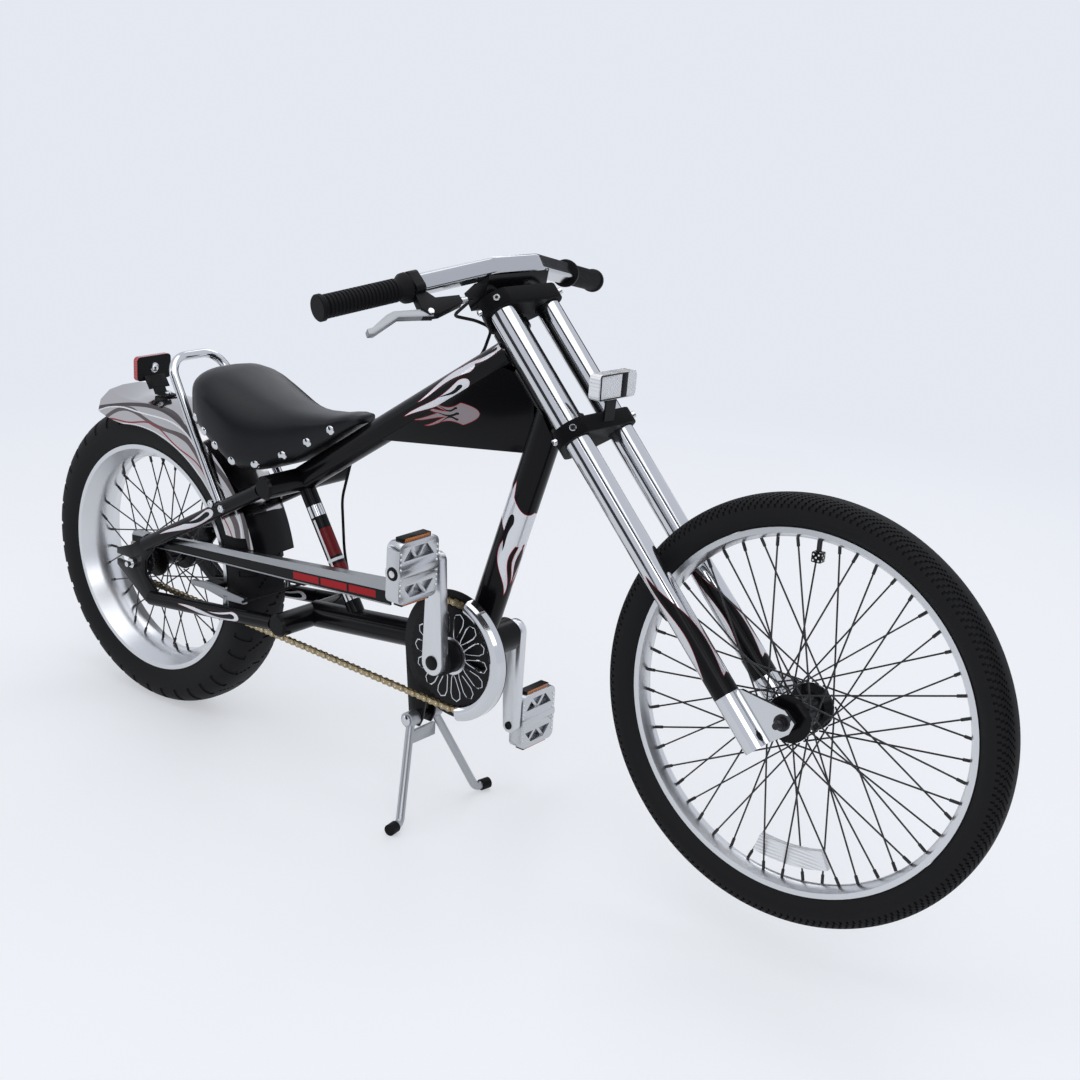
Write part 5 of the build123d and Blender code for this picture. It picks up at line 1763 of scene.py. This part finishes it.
@dataclass
class Stand:
    """The twin-leg stand with its bracket and rubber feet."""

    cap_y: float = 37.8
    cap: Profile = ((0, 0), (0, 9), (2, 9), (4, 6), (4.6, 0))

    def build(self) -> None:
        """Dresses the stand's pieces, and caps its pin."""
        skin("stand_bracket", GLOSS_BLACK, bevel=1.0)
        skin("stand", GREY_CAST, bevel=0.8)
        skin("stand_feet", SOFT_RUBBER)
        pivot = joint_point("stand_fold")
        shape = Shape()
        for side in Side:
            shape.lathe(CHROME, [frame_at(side.beside(pivot, self.cap_y), side.out)], self.cap, 20)
        shape.publish("stand_pin_caps", "frame")


@dataclass
class Studio:
    """Pale surroundings, soft lamps and the camera at the photograph's angle."""

    azimuth: float = 37.49
    elevation: float = 17.78
    roll: float = 3.47
    focal_px: float = 1658.7
    frame_px: float = 1080.0
    camera_at: tuple[float, float, float] = (2314.35, -1891.81, 1281.78)
    sensor_mm: float = 36.0
    pale: Colour = rgb(0.78, 0.81, 0.885)
    floor_colour: Colour = rgb(0.93, 0.95, 0.99)
    floor_glow: Colour = rgb(0.95, 0.97, 1.0)
    floor_m: float = 80.0
    fade_m: tuple[float, float] = (1.0, 3.4)
    near_glow: float = 0.45
    sky_light: float = 0.5
    card_colour: Colour = rgb(0.035, 0.036, 0.04)
    card_away: float = 2.6
    card_aim: tuple[float, float, float] = (0.2, 0.0, 0.45)
    # azimuth in degrees, height of its middle, width and height of a dark card in metres
    cards: tuple[tuple[float, float, float, float], ...] = (
        (-26.0, 1.0, 1.3, 2.6), (92.0, 0.9, 1.2, 2.4), (205.0, 0.8, 2.6, 1.5), (37.0, 2.9, 2.0, 0.8),
    )
    # name, place and aim in metres, size in metres, power in watts
    panels: tuple[tuple[str, Vector, Vector, float, float], ...] = (
        ("overhead", Vector((0.3, -0.3, 3.4)), Vector((0.2, 0.0, 0.3)), 3.6, 46.0),
        ("key", Vector((2.8, -2.9, 2.6)), Vector((0.1, 0.0, 0.45)), 2.2, 34.0),
        ("fill", Vector((-2.6, -2.8, 1.8)), Vector((-0.2, 0.0, 0.4)), 2.2, 20.0),
        ("rim", Vector((-1.2, 3.0, 2.4)), Vector((0.0, 0.0, 0.4)), 2.4, 24.0),
    )

    def build(self) -> None:
        """Sets up the world, floor, lamps, cards and camera."""
        self._world()
        self._floor()
        self._lamps()
        self._cards()
        self._camera()
        bpy.context.scene.view_settings.view_transform = "Standard"

    @staticmethod
    def _show(name: str, data: bpy.types.ID) -> Piece:
        """Puts a mesh, a lamp or a camera into the scene.

        Args:
            name: its name.
            data: its data.

        Returns:
            The new object.
        """
        holder = bpy.data.objects.new(name, data)
        bpy.context.scene.collection.objects.link(holder)
        return holder

    def _sheet(self, name: str, graph: ShaderGraph, form: Matrix) -> Piece:
        """A flat square of one metre, shaped by a matrix.

        Args:
            name: its name.
            graph: the material's graph.
            form: the matrix.

        Returns:
            The new object.
        """
        shape = bmesh.new()
        bmesh.ops.create_grid(shape, x_segments=1, y_segments=1, size=0.5, matrix=form)
        mesh = bpy.data.meshes.new(name)
        shape.to_mesh(mesh)
        shape.free()
        mesh.materials.append(graph.owner)
        return self._show(name, mesh)

    @staticmethod
    def _seen(graph: ShaderGraph) -> Signal:
        """One for rays from the camera, in mirrors and through glass.

        Args:
            graph: the graph.

        Returns:
            The mask.
        """
        kinds = ("Camera", "Glossy", "Transmission")
        camera, glossy, through = (
            graph.node("ShaderNodeLightPath", output=f"Is {kind} Ray") for kind in kinds
        )
        return camera | glossy | through

    def _world(self) -> None:
        """A plain pale sky that lights less than it shows."""
        world = bpy.data.worlds.new("studio")
        graph = ShaderGraph(world)
        sockets = graph.tree.nodes["Background"].inputs
        graph.feed(sockets["Color"], self.pale)
        graph.feed(sockets["Strength"], self._seen(graph) * (1.0 - self.sky_light) + self.sky_light)
        bpy.context.scene.world = world

    def _floor(self) -> None:
        """A wide floor that keeps the object's shadow and fades into the sky."""
        graph = ShaderGraph.material("pale floor")
        graph.set(base_color=self.floor_colour, roughness=0.55)
        ahead = graph.along((0, 0, 0), AHEAD) * MM
        left = graph.along((0, 0, 0), LEFT) * MM
        away = (ahead * ahead + left * left) ** 0.5
        near, far_off = self.fade_m
        fade = {"Value": away, "From Min": near, "From Max": far_off}
        far = graph.node("ShaderNodeMapRange", {"interpolation_type": "SMOOTHSTEP"}, fade)
        shade = graph.blend(far, self.floor_glow, self.pale)
        glow = graph.node("ShaderNodeEmission", {}, {"Color": shade, "Strength": 1.0})
        share = far * (1.0 - self.near_glow) + self.near_glow
        ground = Signal(graph, graph.tree.nodes["Principled BSDF"].outputs[0])
        mixed = graph.node("ShaderNodeMixShader", {}, {0: share * self._seen(graph), 1: ground, 2: glow})
        graph.feed(graph.tree.nodes["Material Output"].inputs["Surface"], mixed)
        wide = Matrix.Diagonal((self.floor_m, self.floor_m, 1.0, 1.0))
        floor = self._sheet("floor", graph, Matrix.Translation((0, 0, -0.5 * MM)) @ wide)

    def _lamps(self) -> None:
        """Soft panels: overhead, beside the camera, on the drive side and behind."""
        for name, at, towards, size, power in self.panels:
            lamp = bpy.data.lights.new(name, "AREA")
            lamp.shape = "SQUARE"
            lamp.size = size
            lamp.energy = power
            holder = self._show(name, lamp)
            holder.location = at
            holder.rotation_euler = (towards - at).to_track_quat("-Z", "Y").to_euler()

    def _cards(self) -> None:
        """Dark cards round the set, which only the bright metal mirrors."""
        graph = ShaderGraph.material("dark card")
        graph.set(base_color=rgb(0.0, 0.0, 0.0), roughness=1.0)
        graph.set(emission_color=self.card_colour, emission_strength=1.0)
        for number, (azimuth, height, width, tall) in enumerate(self.cards):
            turn = radians(azimuth)
            at = Vector((self.card_away * sin(turn), -self.card_away * cos(turn), height))
            card = self._sheet(f"card {number}", graph, Matrix.Diagonal((width, tall, 1.0, 1.0)))
            card.matrix_world = frame_at(at, Vector(self.card_aim) - at, LEFT.cross(at))
            card.visible_camera = False
            card.visible_diffuse = False
            card.visible_shadow = False

    def _camera(self) -> None:
        """The camera whose view was fitted to the wheels, crank and stand."""
        turn, rise, lean = radians(self.azimuth), radians(self.elevation), radians(self.roll)
        back = Vector((sin(turn) * cos(rise), -cos(turn) * cos(rise), sin(rise)))
        level = Vector((cos(turn), sin(turn), 0))
        upright = back.cross(level)
        right = level * cos(lean) + upright * sin(lean)
        top = upright * cos(lean) - level * sin(lean)
        lens = bpy.data.cameras.new("camera")
        lens.sensor_width = self.sensor_mm
        lens.sensor_height = self.sensor_mm
        lens.lens = self.focal_px / self.frame_px * self.sensor_mm
        lens.clip_start = 0.05
        holder = self._show("camera", lens)
        place = Vector(self.camera_at) * MM + Vector((REAR_AXLE.x, 0, 0))
        holder.matrix_world = Matrix.Translation(place) @ Matrix((right, top, back)).transposed().to_4x4()
        bpy.context.scene.camera = holder


REAR_WHEEL = Wheel(
    "rear", REAR_AXLE, LEFT, UP, half=50.0, radius=280.0, rim_half=45.0, rim_r=211.0,
    flange_y=32.0, flange_r=36.0, spokes=36, tread=Tread.BLOCKS, steps=320,
)
FRONT_WHEEL = Wheel(
    "front", FRONT_AXLE, FORK_V, STEER_UP, half=27.0, radius=307.0, rim_half=16.0, rim_r=262.0,
    flange_y=33.0, flange_r=34.0, spokes=52, tread=Tread.SIPES, steps=540,
)


def main() -> None:
    """Builds every sub-assembly in order."""
    bicycle = (FrameSet(), Tail(), Saddle(), REAR_WHEEL, FRONT_WHEEL, Drive(), Fork(), Cockpit(), Stand())
    for assembly in (*bicycle, Studio()):
        log.info("building %s", type(assembly).__name__)
        assembly.build()
    FRONT_WHEEL.valve(turn=48.0)
    FRONT_WHEEL.reflector(turn=-129.0, low=197.0, high=225.0, half=15.0)


if __name__ == "__main__":
    main()
